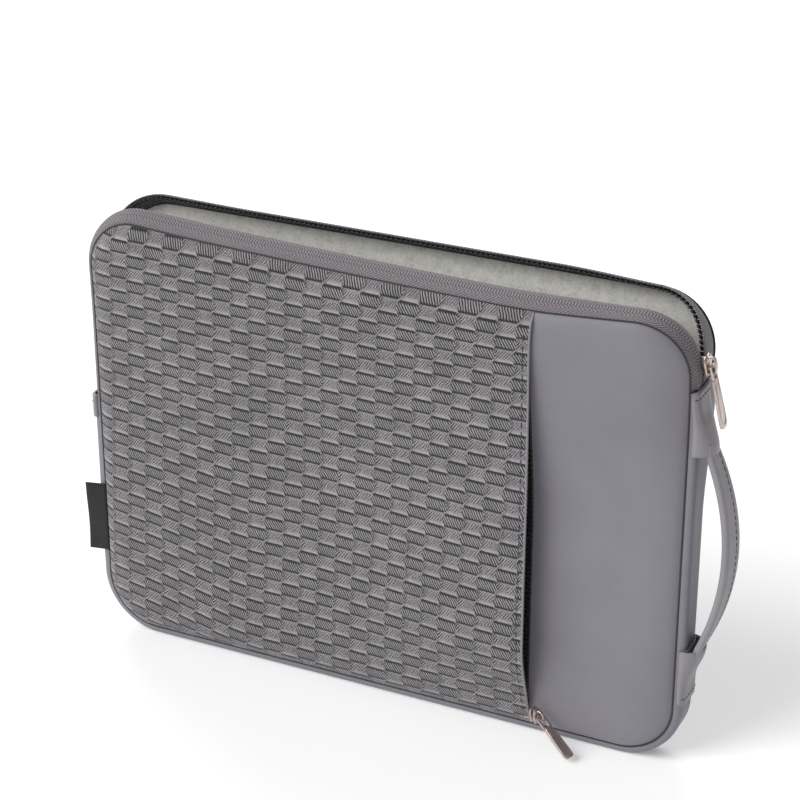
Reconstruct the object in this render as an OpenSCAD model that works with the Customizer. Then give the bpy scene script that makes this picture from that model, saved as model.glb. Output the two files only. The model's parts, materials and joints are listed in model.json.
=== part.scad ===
// Laptop sleeve: padded body, zipped mouth, patterned front pocket and side carry handle.
// Frame: origin at the middle of the flat base, +X towards the handle, front towards -Y, +Z up.

/* [Body] */
// Outer width across the gussets, without the handle
body_w = 360; // [330:1:400]
// Outer height, from the base to the outside of the top rim
body_h = 264; // [250:1:290]
// Outer corner radius
corner_r = 35; // [32:1:42]
// Half of the closed thickness, from the middle plane to an outer face
half_depth = 14; // [13.5:0.1:16]
// Distance of the panel seams inside the outer rim
seam_inset = 5; // [5:0.5:6]

/* [Walls] */
// Thickness of the outer skin
skin_t = 1.2; // [1:0.1:1.4]
// Thickness of the foam in the flat walls
wall_foam_t = 3.9; // [3.5:0.1:4.2]
// Thickness of the inner lining
lining_t = 1.1; // [0.8:0.1:1.2]
// Thickness of the foam in the gusset
gusset_foam_t = 2; // [1.5:0.1:2]

/* [Mouth] */
// Height of the fold that the back wall opens about, and of the left end of the zip
fold_z = 150; // [120:1:160]
// Angle at which the back wall stands open
open_angle = 10.5; // [6:0.5:14]
// Height of the right end of the zip
zip_right_z = 222; // [200:1:225]
// Outward lean of a zip tape from its seam to its free edge
tape_lean = 4; // [3:0.5:5]

/* [Pocket] */
// Position of the open edge of the pocket, from the middle
pocket_edge_x = 95; // [60:1:105]
// How far the open edge stands off the front panel
pocket_lift = 12; // [11:0.5:15]

/* [Handle] */
// Height of the lower mouth of the handle
handle_low_z = 72; // [60:1:80]
// Height of the upper mouth of the handle
handle_high_z = 187; // [175:1:190]
// Width of the strap
strap_w = 15; // [12:0.5:16]
// Thickness of the strap
strap_t = 4; // [3.6:0.1:4.6]
// How far the strap bows outwards between its mouths
strap_bow = 13; // [11:0.5:20]

/* [Zip pulls] */
// Length of the main pull tab
main_pull_l = 34; // [26:1:36]
// Tilt of the main pull tab away from the wall
main_pull_tilt = 14; // [8:1:30]
// Length of the pocket pull tab
pocket_pull_l = 27.5; // [20:0.5:28]
// Tilt of the pocket pull tab away from the wall
pocket_pull_tilt = 56; // [56:1:75]

/* [Hidden] */
$fn = 96;

eps = 0.01;
gap = 0.2;                                  // half of the slit along the fold
big = 600;

// Rim: radii are measured from the corner centres
rim_r = corner_r;
seam_r = corner_r - seam_inset;
centre_x = body_w / 2 - corner_r;
low_centre_z = corner_r;
high_centre_z = body_h - corner_r;
left_end_z = fold_z - 2;
panel_in_y = half_depth - skin_t;
foam_in_y = panel_in_y - wall_foam_t;
lining_in_y = foam_in_y - lining_t;
layer_r = seam_r - 1;                       // foam and lining stop a little inside the seam

// Gusset layers
flange_in_r = seam_r - 0.6;
strip_in_r = rim_r - skin_t;
gusset_foam_in_r = strip_in_r - gusset_foam_t;
gusset_lining_t = 0.8;
padding_top_z = zip_right_z - 2;            // keeps the gusset's padding clear of the back tape
gusset_in_r = gusset_foam_in_r - gusset_lining_t;
spread = tan(open_angle);

// Fold of the back wall
fold_y = half_depth + 0.3;

// Zip
tape_t = 1;
tape_seam_y = half_depth - skin_t / 2;
tape_free_y = 2;
tape_slope = tape_lean / (tape_seam_y - tape_free_y);
free_r = seam_r + tape_lean;
coil_t = 2;
coil_near_y = 1.7;
coil_far_y = 6;
stop_h = 3;

// Main slider, drawn at the end of the corner arc and turned about the corner's centre
slider_angle = 8;
slider_l = 11;
slider_half_w = 5.2;
inner_half_w = 4;
plate_t = 1.4;
outer_plate_r = free_r + 0.7;
plate_play = 0.9;
inner_plate_r = free_r - tape_t - coil_t - (inner_half_w - tape_free_y) * tape_slope - plate_play - plate_t;
neck_half_w = 1.2;
bridge_h = 4.2;
bridge_wall = 1;
bridge_half_l = 4;
bridge_half_w = 1.2;
axis_h = 1.6;                               // pull axis above the plate, midway under the bridge
pull_axis_r = outer_plate_r + plate_t + axis_h;

// Pull tabs
pull_t = 1.6;
pull_eye_l = 7;
pull_bar_r = 0.8;

// Pocket
pocket_left_x = -(body_w / 2 - seam_inset);
pocket_skin_t = 1.4;
pocket_lining_t = 0.8;
pocket_low_z = 8;
pocket_high_z = body_h - 8;
pocket_slope = pocket_lift / (pocket_edge_x - pocket_left_x);
pocket_tape_t = 0.8;
pocket_tape_w = 11;
pocket_coil_w = 3;
pocket_coil_t = 1.6;
pocket_slider_x = pocket_edge_x + 4.4;
pocket_slider_y = -half_depth - pocket_lift / 2;
pocket_slider_z = 18;
pocket_plate_t = 1.2;
pocket_plate_space = 1.6;
pocket_pull_axis = 2 * pocket_plate_t + pocket_plate_space + axis_h;
pocket_inner_y = -half_depth - pocket_lift + pocket_skin_t + pocket_lining_t + 0.5;
pocket_face_angle = -20;                    // the way that the pocket slider faces, from +X

// Handle
strap_mouth_x = body_w / 2 + 5.5;
handle_mid_z = (handle_low_z + handle_high_z) / 2;
mouth_gap = 1.4;                            // leaves the strap's outer corners half a millimetre clear
strap_half_h = (handle_high_z - handle_low_z) / 2 - mouth_gap;
strap_r = (pow(strap_half_h, 2) + pow(strap_bow, 2)) / (2 * strap_bow);
strap_centre_x = strap_mouth_x + strap_bow - strap_r;
strap_sweep = asin(strap_half_h / strap_r);
core_w = strap_w - 6;
core_t = 1.6;
anchor_half_w = 9.5;
anchor_t = 1.6;
anchor_flare_h = 20;
anchor_flare = strap_mouth_x + strap_t / 2 + 0.7 - body_w / 2;
anchor_end_z = low_centre_z + 4;

// Stitches
stitch_l = 2.6;
stitch_t = 0.5;

// Colours
leather = "#85828a";
fabric = "#6f6e72";
tape_colour = "#8b8188";
lining_colour = "#b9b9bb";
foam_colour = "#d8d8d4";
metal = "#c3b4aa";
dark = "#1c1c1e";

// Rounded rectangle in X and Z with the given corner radius about the rim's corner centres
module outline(r) {
    translate([-centre_x, low_centre_z - r])
        square([2 * centre_x, high_centre_z - low_centre_z + 2 * r]);
    translate([-centre_x - r, low_centre_z])
        square([2 * (centre_x + r), high_centre_z - low_centre_z]);
    for (x = [-centre_x, centre_x], z = [low_centre_z, high_centre_z])
        translate([x, z]) circle(r);
}

// Flat wall layer with the outline above, between two depths
module layer(r, y_from, y_to) {
    translate([0, y_to, 0]) rotate([90, 0, 0]) linear_extrude(y_to - y_from) outline(r);
}

module below_fold() {
    translate([-big / 2, -big / 2, 0]) cube([big, big, fold_z - gap]);
}

module above_fold() {
    translate([-big / 2, -big / 2, fold_z + gap]) cube([big, big, big]);
}

// Carries the upper back wall from its closed place to where it stands open
module opened() {
    translate([0, fold_y, fold_z]) rotate([-open_angle, 0, 0]) translate([0, -fold_y, -fold_z])
        children();
}

// A profile in (radius, Y) run along one stretch of the rim
module side_run(side, z_from, z_to) {
    mirror([side < 0 ? 1 : 0, 0, 0])
        translate([centre_x, 0, z_from]) linear_extrude(z_to - z_from) children();
}

module corner_run(side, top) {
    mirror([side < 0 ? 1 : 0, 0, 0])
        translate([centre_x, 0, top ? high_centre_z : low_centre_z])
            rotate([-90, 0, 0]) rotate([0, 0, top ? -90 : 0]) rotate_extrude(angle = 90) children();
}

module flat_run(top) {
    translate([top ? centre_x : -centre_x, 0, top ? high_centre_z : low_centre_z])
        rotate([0, top ? -90 : 90, 0]) linear_extrude(2 * centre_x) children();
}

// The gusset's route: up the left side to the fold, under the body and up the right side
module gusset_run() {
    side_run(-1, low_centre_z, left_end_z) children();
    corner_run(-1, false) children();
    flat_run(false) children();
    corner_run(1, false) children();
    side_run(1, low_centre_z, left_end_z) children();
}

// The zip's route: from the left end, over the top, to the right end
module zip_run(left_z, right_z) {
    side_run(-1, left_z, high_centre_z) children();
    corner_run(-1, true) children();
    flat_run(true) children();
    corner_run(1, true) children();
    side_run(1, right_z, high_centre_z) children();
}

// Right side of the gusset above the fold, spread by the open back wall
module spread_gusset(r_from, r_to, half_w, top_z) {
    mouth_y = half_w + (top_z - fold_z) * spread;
    translate([centre_x + r_from, 0, 0]) rotate([90, 0, 90]) linear_extrude(r_to - r_from)
        polygon([[-half_w, left_end_z], [half_w, left_end_z], [half_w, fold_z],
                 [mouth_y, top_z], [-half_w, top_z]]);
}

// ---- walls ----
module front_panel() {
    color(leather) layer(seam_r, -half_depth, -panel_in_y);
}

module front_foam() {
    color(foam_colour) layer(layer_r, -panel_in_y, -foam_in_y);
}

module front_lining() {
    color(lining_colour) layer(layer_r, -foam_in_y, -lining_in_y);
}

module back_panel_lower() {
    color(leather) intersection() {
        layer(seam_r, panel_in_y, half_depth);
        below_fold();
    }
}

module back_foam_lower() {
    color(foam_colour) intersection() {
        layer(layer_r, foam_in_y, panel_in_y);
        below_fold();
    }
}

module back_lining_lower() {
    color(lining_colour) intersection() {
        layer(layer_r, lining_in_y, foam_in_y);
        below_fold();
    }
}

module back_panel_upper() {
    color(leather) opened() intersection() {
        layer(seam_r, panel_in_y, half_depth);
        above_fold();
    }
}

module back_foam_upper() {
    color(foam_colour) opened() intersection() {
        layer(layer_r, foam_in_y, panel_in_y);
        above_fold();
    }
}

module back_lining_upper() {
    color(lining_colour) opened() intersection() {
        layer(layer_r, lining_in_y, foam_in_y);
        above_fold();
    }
}

// ---- gusset ----
module strip_profile() {
    flange_w = strip_in_r - flange_in_r + eps;
    translate([strip_in_r, -panel_in_y]) square([skin_t, 2 * panel_in_y]);
    for (y = [-panel_in_y, panel_in_y - skin_t])
        translate([flange_in_r, y]) square([flange_w, skin_t]);
}

module gusset_strip() {
    flange_w = strip_in_r - flange_in_r + eps;
    color(leather) {
        gusset_run() strip_profile();
        spread_gusset(strip_in_r, rim_r, panel_in_y, zip_right_z);
        side_run(1, left_end_z, zip_right_z) translate([flange_in_r, -panel_in_y]) square([flange_w, skin_t]);
    }
}

module gusset_foam() {
    half_w = panel_in_y - skin_t;
    color(foam_colour) {
        gusset_run() translate([gusset_foam_in_r, -half_w]) square([gusset_foam_t, 2 * half_w]);
        spread_gusset(gusset_foam_in_r, strip_in_r, half_w, padding_top_z);
    }
}

module gusset_lining() {
    half_w = panel_in_y - skin_t;
    color(lining_colour) {
        gusset_run() translate([gusset_in_r, -half_w]) square([gusset_lining_t, 2 * half_w]);
        spread_gusset(gusset_in_r, gusset_foam_in_r, half_w, padding_top_z);
    }
}

// ---- main zip ----
// Sections on the front side; the back side mirrors them in Y
module tape_profile() {
    polygon([[seam_r, -tape_seam_y], [free_r, -tape_free_y],
             [free_r - tape_t, -tape_free_y], [seam_r, -tape_seam_y + tape_t / tape_slope]]);
}

module coil_profile() {
    near_r = free_r - tape_t + (tape_free_y - coil_near_y) * tape_slope;
    far_r = free_r - tape_t - (coil_far_y - tape_free_y) * tape_slope;
    polygon([[near_r, -coil_near_y], [far_r, -coil_far_y],
             [far_r - coil_t, -coil_far_y], [near_r - coil_t, -coil_near_y]]);
}

module front_zip_tape() {
    color(tape_colour) zip_run(left_end_z, zip_right_z) tape_profile();
}

module front_zip_coil() {
    color(dark) zip_run(left_end_z, zip_right_z + stop_h) coil_profile();
}

module back_zip_tape() {
    color(tape_colour) opened() zip_run(fold_z + gap, zip_right_z) mirror([0, 1]) tape_profile();
}

module back_zip_coil() {
    color(dark) opened() zip_run(fold_z + gap, zip_right_z + stop_h) mirror([0, 1]) coil_profile();
}

// Clamp that closes the right end of the front coil
module zip_bottom_stop() {
    color(metal) side_run(1, zip_right_z, zip_right_z + stop_h) coil_profile();
}

// Folded skin tab over the left end of the zip
module zip_end_tab() {
    tab_h = 12;
    tab_half_w = 9;
    color(leather) translate([-body_w / 2 - anchor_t, -tab_half_w, left_end_z - tab_h])
        cube([anchor_t, 2 * tab_half_w, tab_h]);
}

module side_label() {
    label_out = 12.5;
    label_h = 43;
    label_low_z = 50;
    label_t = 0.9;
    color(dark) translate([-body_w / 2 + seam_inset - label_out, -panel_in_y - label_t, label_low_z])
        cube([label_out, label_t, label_h]);
}

// ---- slider and pull ----
module slider_bridge(height, half_l, half_w, wall) {
    difference() {
        translate([0, -half_w, -half_l]) cube([height, 2 * half_w, 2 * half_l]);
        translate([-eps, -half_w - eps, -half_l + wall])
            cube([height - wall + eps, 2 * half_w + 2 * eps, 2 * (half_l - wall)]);
    }
}

module main_slider() {
    color(metal) translate([centre_x, 0, high_centre_z]) rotate([0, -slider_angle, 0]) {
        translate([outer_plate_r, -slider_half_w, -slider_l / 2])
            cube([plate_t, 2 * slider_half_w, slider_l]);
        translate([inner_plate_r, -inner_half_w, -slider_l / 2])
            cube([plate_t, 2 * inner_half_w, slider_l]);
        translate([inner_plate_r, -neck_half_w, -slider_l / 4])
            cube([outer_plate_r - inner_plate_r + plate_t, 2 * neck_half_w, slider_l / 2]);
        translate([outer_plate_r + plate_t, 0, 0])
            slider_bridge(bridge_h, bridge_half_l, bridge_half_w, bridge_wall);
    }
}

// Flat tab that hangs from a round bar, with an eye around the slider's bridge
module pull_tab(length, width) {
    chamfer = width * 0.28;
    half_w = width / 2;
    rotate([0, 90, 0]) translate([0, 0, -pull_t / 2]) linear_extrude(pull_t) difference() {
        polygon([[0, -half_w], [length - chamfer, -half_w], [length, -half_w + chamfer],
                 [length, half_w - chamfer], [length - chamfer, half_w], [0, half_w]]);
        translate([pull_bar_r, -bridge_half_w - 0.7]) square([pull_eye_l, 2 * bridge_half_w + 1.4]);
    }
    rotate([90, 0, 0]) cylinder(r = pull_bar_r, h = width, center = true);
}

module main_pull_tab() {
    pull_w = 8;
    color(metal) translate([centre_x, 0, high_centre_z]) rotate([0, -slider_angle, 0])
        translate([pull_axis_r, 0, 0]) rotate([0, slider_angle - main_pull_tilt, 0])
            pull_tab(main_pull_l, pull_w);
}

// ---- pocket ----
// Outer face of the pocket, sloping out from the left seam to the open edge
function pocket_y(x) = -half_depth - (x - pocket_left_x) * pocket_slope;

module pocket_wedge(x_to, skin) {
    polygon([[pocket_left_x, -half_depth], [x_to, pocket_y(x_to) + skin], [x_to, -half_depth]]);
}

module pocket_panel() {
    color(fabric) intersection() {
        difference() {
            translate([0, 0, pocket_low_z]) linear_extrude(pocket_high_z - pocket_low_z)
                pocket_wedge(pocket_edge_x, 0);
            translate([0, 0, pocket_low_z + pocket_skin_t])
                linear_extrude(pocket_high_z - pocket_low_z - 2 * pocket_skin_t)
                    pocket_wedge(pocket_edge_x + 1, pocket_skin_t);
        }
        layer(seam_r - 1, -2 * half_depth, -half_depth);
    }
}

module pocket_lining() {
    near_x = pocket_left_x + (pocket_skin_t + pocket_lining_t) / pocket_slope;
    color(dark) translate([0, 0, pocket_low_z + pocket_skin_t])
        linear_extrude(pocket_high_z - pocket_low_z - 2 * pocket_skin_t)
            polygon([[near_x, pocket_y(near_x) + pocket_skin_t],
                     [pocket_edge_x, pocket_y(pocket_edge_x) + pocket_skin_t],
                     [pocket_edge_x, pocket_y(pocket_edge_x) + pocket_skin_t + pocket_lining_t],
                     [near_x, pocket_y(near_x) + pocket_skin_t + pocket_lining_t]]);
}

// Folded strip that closes the raw edge of the pocket
module pocket_binding() {
    binding_w = 1.2;
    binding_t = pocket_skin_t + pocket_lining_t;
    color(leather) translate([pocket_edge_x, pocket_y(pocket_edge_x), pocket_low_z])
        cube([binding_w, binding_t, pocket_high_z - pocket_low_z]);
}

module pocket_strip(x, y, w, t, inset) {
    translate([x, y, pocket_low_z + inset]) cube([w, t, pocket_high_z - pocket_low_z - 2 * inset]);
}

module pocket_tape_front() {
    color(tape_colour)
        pocket_strip(pocket_edge_x - pocket_tape_w, pocket_inner_y, pocket_tape_w, pocket_tape_t, 2);
}

module pocket_coil_front() {
    color(dark) pocket_strip(pocket_edge_x - pocket_coil_w, pocket_inner_y + pocket_tape_t,
                             pocket_coil_w, pocket_coil_t, 5);
}

module pocket_tape_rear() {
    color(tape_colour)
        pocket_strip(pocket_edge_x - pocket_tape_w, -half_depth - pocket_tape_t, pocket_tape_w, pocket_tape_t, 2);
}

module pocket_coil_rear() {
    color(dark) pocket_strip(pocket_edge_x - pocket_coil_w, -half_depth - pocket_tape_t - pocket_coil_t,
                             pocket_coil_w, pocket_coil_t, 5);
}

// Small clamps at both ends of the pocket's rear coil
module pocket_zip_stops() {
    stop_l = 3;
    color(metal) for (z = [pocket_low_z + 2, pocket_high_z - 2 - stop_l])
        translate([pocket_edge_x - pocket_coil_w, -half_depth - pocket_tape_t - pocket_coil_t, z])
            cube([pocket_coil_w, pocket_coil_t, stop_l]);
}

module pocket_slider_frame() {
    translate([pocket_slider_x, pocket_slider_y, pocket_slider_z]) rotate([0, 0, pocket_face_angle])
        children();
}

module pocket_slider() {
    half_w = 3;
    half_l = 4.5;
    neck_w = 2;
    body_t = 2 * pocket_plate_t + pocket_plate_space;
    color(metal) pocket_slider_frame() {
        for (x = [0, body_t - pocket_plate_t])
            translate([x, -half_w, -half_l]) cube([pocket_plate_t, 2 * half_w, 2 * half_l]);
        translate([0, -neck_w / 2, -half_l / 2]) cube([body_t, neck_w, half_l]);
        translate([body_t, 0, 0]) slider_bridge(bridge_h, bridge_half_l, bridge_half_w, bridge_wall);
    }
}

module pocket_pull_tab() {
    pull_w = 6.6;
    color(metal) pocket_slider_frame() translate([pocket_pull_axis, 0, 0])
        rotate([0, -pocket_pull_tilt, 0]) pull_tab(pocket_pull_l, pull_w);
}

// ---- handle ----
module anchor(mouth_z, end_z) {
    flare_z = mouth_z + sign(end_z - mouth_z) * anchor_flare_h;
    color(leather) translate([0, anchor_half_w, 0]) rotate([90, 0, 0]) linear_extrude(2 * anchor_half_w)
        polygon([[body_w / 2, mouth_z], [body_w / 2 + anchor_flare, mouth_z],
                 [body_w / 2 + anchor_t, flare_z], [body_w / 2 + anchor_t, end_z], [body_w / 2, end_z]]);
}

module handle_top_anchor() {
    anchor(handle_high_z, zip_right_z);
}

module handle_bottom_anchor() {
    anchor(handle_low_z, anchor_end_z);
}

// A flat bar of the given section bent along the handle's arc
module strap_arc(width, thickness, offset) {
    translate([strap_centre_x, 0, handle_mid_z]) rotate([-90, 0, 0]) rotate([0, 0, -strap_sweep])
        rotate_extrude(angle = 2 * strap_sweep, $fn = 180)
            translate([strap_r + offset - thickness / 2, -width / 2]) square([thickness, width]);
}

module handle_strap() {
    color(leather) difference() {
        strap_arc(strap_w, strap_t, 0);
        strap_arc(core_w, core_t, 0);
    }
}

module handle_core() {
    color(foam_colour) strap_arc(core_w, core_t, 0);
}

// Two rows of stitches on the outer face of the strap
module handle_stitches() {
    count = 22;
    row_y = strap_w / 2 - 2.2;
    step = 2 * (strap_sweep - 2) / (count - 1);
    color(dark) translate([strap_centre_x, 0, handle_mid_z])
        for (i = [0 : count - 1], y = [-row_y, row_y])
            rotate([0, -strap_sweep + 2 + i * step, 0])
                translate([strap_r + strap_t / 2, y - stitch_t / 2, -stitch_l / 2])
                    cube([stitch_t, stitch_t, stitch_l]);
}

// ---- seams ----
module stitch_row(x, z, count, pitch) {
    color(dark) for (i = [0 : count - 1])
        translate([x, (i - (count - 1) / 2) * pitch - stitch_l / 2, z]) cube([stitch_t, stitch_l, stitch_t]);
}

module anchor_stitches() {
    below_mouth = 5;
    flare_at = anchor_flare - (anchor_flare - anchor_t) * (below_mouth - stitch_t) / anchor_flare_h;
    stitch_row(body_w / 2 + anchor_t, zip_right_z - 4, 4, 4.4);
    stitch_row(body_w / 2 + flare_at, handle_low_z - below_mouth, 4, 4.4);
}

module end_tab_stitches() {
    stitch_row(-body_w / 2 - anchor_t - stitch_t, left_end_z - 3, 4, 4.4);
}

module pocket_stitches() {
    pitch = 6;
    inset = 3.4;
    x = pocket_edge_x - inset;
    count = floor((pocket_high_z - pocket_low_z - 12) / pitch);
    color(leather) for (i = [0 : count - 1])
        translate([x, pocket_y(x + stitch_t) - stitch_t, pocket_low_z + 8 + i * pitch])
            cube([stitch_t, stitch_t, stitch_l]);
}

front_panel();
front_foam();
front_lining();
back_panel_lower();
back_foam_lower();
back_lining_lower();
back_panel_upper();
back_foam_upper();
back_lining_upper();
gusset_strip();
gusset_foam();
gusset_lining();
front_zip_tape();
front_zip_coil();
back_zip_tape();
back_zip_coil();
zip_bottom_stop();
zip_end_tab();
side_label();
main_slider();
main_pull_tab();
pocket_panel();
pocket_lining();
pocket_binding();
pocket_tape_front();
pocket_coil_front();
pocket_tape_rear();
pocket_coil_rear();
pocket_zip_stops();
pocket_slider();
pocket_pull_tab();
handle_top_anchor();
handle_bottom_anchor();
handle_strap();
handle_core();
handle_stitches();
anchor_stitches();
end_tab_stitches();
pocket_stitches();
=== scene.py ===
"""Padded laptop sleeve, standing open: soft goods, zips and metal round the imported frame."""
import json
import math

import bpy
import numpy as np
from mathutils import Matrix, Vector


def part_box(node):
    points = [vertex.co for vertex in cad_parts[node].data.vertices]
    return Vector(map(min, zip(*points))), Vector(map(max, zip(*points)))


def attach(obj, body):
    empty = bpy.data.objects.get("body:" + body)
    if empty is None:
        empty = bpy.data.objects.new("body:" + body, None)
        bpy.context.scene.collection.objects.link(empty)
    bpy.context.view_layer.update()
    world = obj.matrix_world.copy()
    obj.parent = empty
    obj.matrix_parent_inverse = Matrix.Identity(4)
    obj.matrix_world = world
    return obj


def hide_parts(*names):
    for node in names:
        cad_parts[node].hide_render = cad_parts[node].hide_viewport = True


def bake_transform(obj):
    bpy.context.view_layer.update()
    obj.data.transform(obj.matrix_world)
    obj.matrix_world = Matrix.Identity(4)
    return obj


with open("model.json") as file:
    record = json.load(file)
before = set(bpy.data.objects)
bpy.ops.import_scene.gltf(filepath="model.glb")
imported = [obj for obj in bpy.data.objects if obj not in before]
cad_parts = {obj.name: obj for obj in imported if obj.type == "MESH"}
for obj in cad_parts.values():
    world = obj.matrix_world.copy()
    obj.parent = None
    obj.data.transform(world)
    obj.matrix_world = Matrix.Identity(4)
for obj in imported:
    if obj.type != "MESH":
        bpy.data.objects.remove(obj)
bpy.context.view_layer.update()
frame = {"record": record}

MM = 0.001

# ---------------------------------------------------------------- the frame's sizes, in metres
RIM_HALF_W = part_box("gusset_strip")[1][0]           # outer half width of the gusset
SEAM_HALF_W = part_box("front_panel")[1][0]           # half of the width between the side seams
SEAM_LOW, SEAM_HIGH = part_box("front_panel")[0][2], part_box("front_panel")[1][2]
POCKET_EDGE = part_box("pocket_panel")[1][0]
POCKET_DEPTH = -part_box("pocket_panel")[0][1]
ZIP_RIGHT_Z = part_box("gusset_strip")[1][2]
WALL_DEPTH = -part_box("front_panel")[0][1]
MOUTH = next(j for j in frame["record"]["behaviour"]["joints"] if j["name"] == "mouth")
FOLD_Y, FOLD_Z = MOUTH["pos_m"][1], MOUTH["pos_m"][2]
OPEN = math.radians(-MOUTH["range_deg"][0])         # how far the back wall stands open at rest
FOLD_FROM, FOLD_TO = FOLD_Z - 28 * MM, FOLD_Z + 30 * MM

RIM_R = 35 * MM
SEAM_R = RIM_R - (RIM_HALF_W - SEAM_HALF_W)
CORNER_X = RIM_HALF_W - RIM_R
LOW_Z = SEAM_LOW + SEAM_R
HIGH_Z = SEAM_HIGH - SEAM_R
LEFT_END_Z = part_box("front_zip_tape")[0][2]

SIDE_SEAM = 9.6 * MM                                # depth of the seams at the sides and below
TAPE_LEAN = 12 * MM
TAPE_RISE = 4.6 * MM

# How much deeper than the side seams the open mouth's front seam stands, along its length
MOUTH_BOW = [(-175, 1.5), (-150, 2.2), (-110, 5.2), (-45, 8.4), (20, 11), (75, 12.6), (98, 12.4),
             (130, 9.2), (152, 7), (175, 3.4)]
SAG_SHARE, SAG_FROM = 0.34, 2.2 * MM                # the seam sags by this share of its bow past this


# ---------------------------------------------------------------- small maths
def smooth(value, low, high):
    t = np.clip((np.asarray(value, float) - low) / (high - low), 0, 1)
    return t * t * (3 - 2 * t)


CURVE_POINTS, CURVE_REACH = 701, 45                 # points on a curve, and how far each one is averaged


def rounded_curve(points, x):
    """Curve near listed points, rounded at each of them and flat at its two ends."""
    at, value = (np.array(column, float) for column in zip(*points))
    fine = np.linspace(at[0], at[-1], CURVE_POINTS)
    line = np.interp(fine, at, value)
    kernel = np.hanning(2 * CURVE_REACH + 1)
    padded = np.concatenate([np.full(CURVE_REACH, line[0]), line, np.full(CURVE_REACH, line[-1])])
    return np.interp(x, fine, np.convolve(padded, kernel / kernel.sum(), "valid"))


def mouth_bow(x):
    return rounded_curve(MOUTH_BOW, np.asarray(x) / MM) * MM


def ripple(a, b, size, seed):
    """Slow uneven wave over two coordinates, for cloth and skin that aren't ideal."""
    p = np.sin(a * 2.1 / size + 1.7 * seed) * np.cos(b * 1.6 / size - seed)
    q = np.sin(a * 0.9 / size - b * 1.3 / size + 2.3 * seed)
    return 0.6 * p + 0.4 * q


def unit(v):
    return v / np.maximum(np.linalg.norm(v, axis=-1, keepdims=True), 1e-12)


def opened(points, share):
    """Back wall points turned by a share of the opening about the fold."""
    angle = OPEN * np.asarray(share)
    dy, dz = points[..., 1] - FOLD_Y, points[..., 2] - FOLD_Z
    out = points.copy()
    out[..., 1] = FOLD_Y + dy * np.cos(angle) + dz * np.sin(angle)
    out[..., 2] = FOLD_Z + dz * np.cos(angle) - dy * np.sin(angle)
    return out


def fold_share(z):
    return smooth(z, FOLD_FROM, FOLD_TO)


# ---------------------------------------------------------------- the sleeve's outline
def past_corners(z):
    """How far a height lies above or below the corners' centres."""
    return np.maximum(np.maximum(LOW_Z - z, z - HIGH_Z), 0)


def border_distance(x, z, r):
    """How far a point lies inside the outline whose corners have radius r."""
    inside = np.minimum(CORNER_X - np.abs(x), np.minimum(z - LOW_Z, HIGH_Z - z))
    corner = r - np.hypot(np.maximum(np.abs(x) - CORNER_X, 0), past_corners(z))
    return np.where(inside > 0, r + inside, corner)


def half_width(z, r):
    return CORNER_X + np.sqrt(np.maximum(r * r - past_corners(z) ** 2, 0))


def row_heights(r, step, corner_rows):
    turn = np.linspace(0, math.pi / 2, corner_rows)
    middle = np.linspace(LOW_Z, HIGH_Z, max(2, round((HIGH_Z - LOW_Z) / step)))
    return np.concatenate([LOW_Z - r * np.cos(turn), middle[1:-1], HIGH_Z + r * np.sin(turn)])


def top_share(z):
    """0 low on the walls and 1 at the mouth's seam."""
    return smooth(z, SEAM_HIGH - 62 * MM, SEAM_HIGH - 4 * MM)


def rim_stations(z_left, z_right, top, step=3 * MM):
    """(centre x, centre z, normal x, normal z) from the left side round the top or bottom to the right."""
    s, corner_z = (1, HIGH_Z) if top else (-1, LOW_Z)
    turn = np.linspace(0, math.pi / 2, max(3, round(1.57 * RIM_R / step)))[1:-1]

    def count(length):
        return max(2, round(abs(length) / step))

    left = [(-CORNER_X, z, -1, 0) for z in np.linspace(z_left, corner_z, count(corner_z - z_left))]
    first = [(-CORNER_X, corner_z, -math.cos(a), s * math.sin(a)) for a in turn]
    across = [(x, corner_z, 0, s) for x in np.linspace(-CORNER_X, CORNER_X, count(2 * CORNER_X))]
    last = [(CORNER_X, corner_z, math.sin(a), s * math.cos(a)) for a in turn]
    right = [(CORNER_X, z, 1, 0) for z in np.linspace(corner_z, z_right, count(corner_z - z_right))]
    return np.array(left + first + across + last + right)


def on_rim(stations, r, y):
    """Grid of points, stations by profile, from radius and depth arrays that broadcast to it."""
    x = stations[:, None, 0] + r * stations[:, None, 2]
    z = stations[:, None, 1] + r * stations[:, None, 3]
    return np.stack(np.broadcast_arrays(x, y, z), axis=-1).astype(float)


def run_length(grid):
    """Distance along the first direction of a grid, measured on its middle line."""
    line = grid[:, grid.shape[1] // 2]
    steps = np.linalg.norm(np.diff(line, axis=0), axis=1)
    return np.concatenate([[0], np.cumsum(steps)])


def width_length(grid):
    steps = np.linalg.norm(np.diff(grid, axis=1), axis=2)
    return np.concatenate([np.zeros((grid.shape[0], 1)), np.cumsum(steps, axis=1)], axis=1)


def metric_uv(grid):
    """Across and along the strip in metres, for weaves that follow it."""
    across = width_length(grid)
    along = np.broadcast_to(run_length(grid)[:, None], across.shape)
    return np.stack([across, along], axis=-1)


# ---------------------------------------------------------------- meshes
def mesh_piece(name, verts, faces, slot, paint, uv=None):
    mesh = bpy.data.meshes.new(name)
    mesh.from_pydata([tuple(v) for v in np.asarray(verts, float)], [], [tuple(f) for f in faces])
    if uv is not None:
        layer = mesh.uv_layers.new(name="UVMap")
        loops = np.empty(len(mesh.loops), dtype=np.int32)
        mesh.loops.foreach_get("vertex_index", loops)
        layer.data.foreach_set("uv", np.asarray(uv, float)[loops].ravel())
    mesh.polygons.foreach_set("use_smooth", np.full(len(mesh.polygons), True))
    mesh.materials.append(paint)
    mesh.update()
    piece = bpy.data.objects.new(name, mesh)
    bpy.context.scene.collection.objects.link(piece)
    return piece


def fix_to(piece, body, *nodes):
    """The piece moves with a body and stands for CAD nodes."""
    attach(piece, body)
    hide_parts(*nodes)


def strip_sheet(piece, width, run):
    """Works out the length of a strip's run and keeps nothing; the piece and its cut width are not used."""
    float(run_length(run)[-1])


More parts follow.
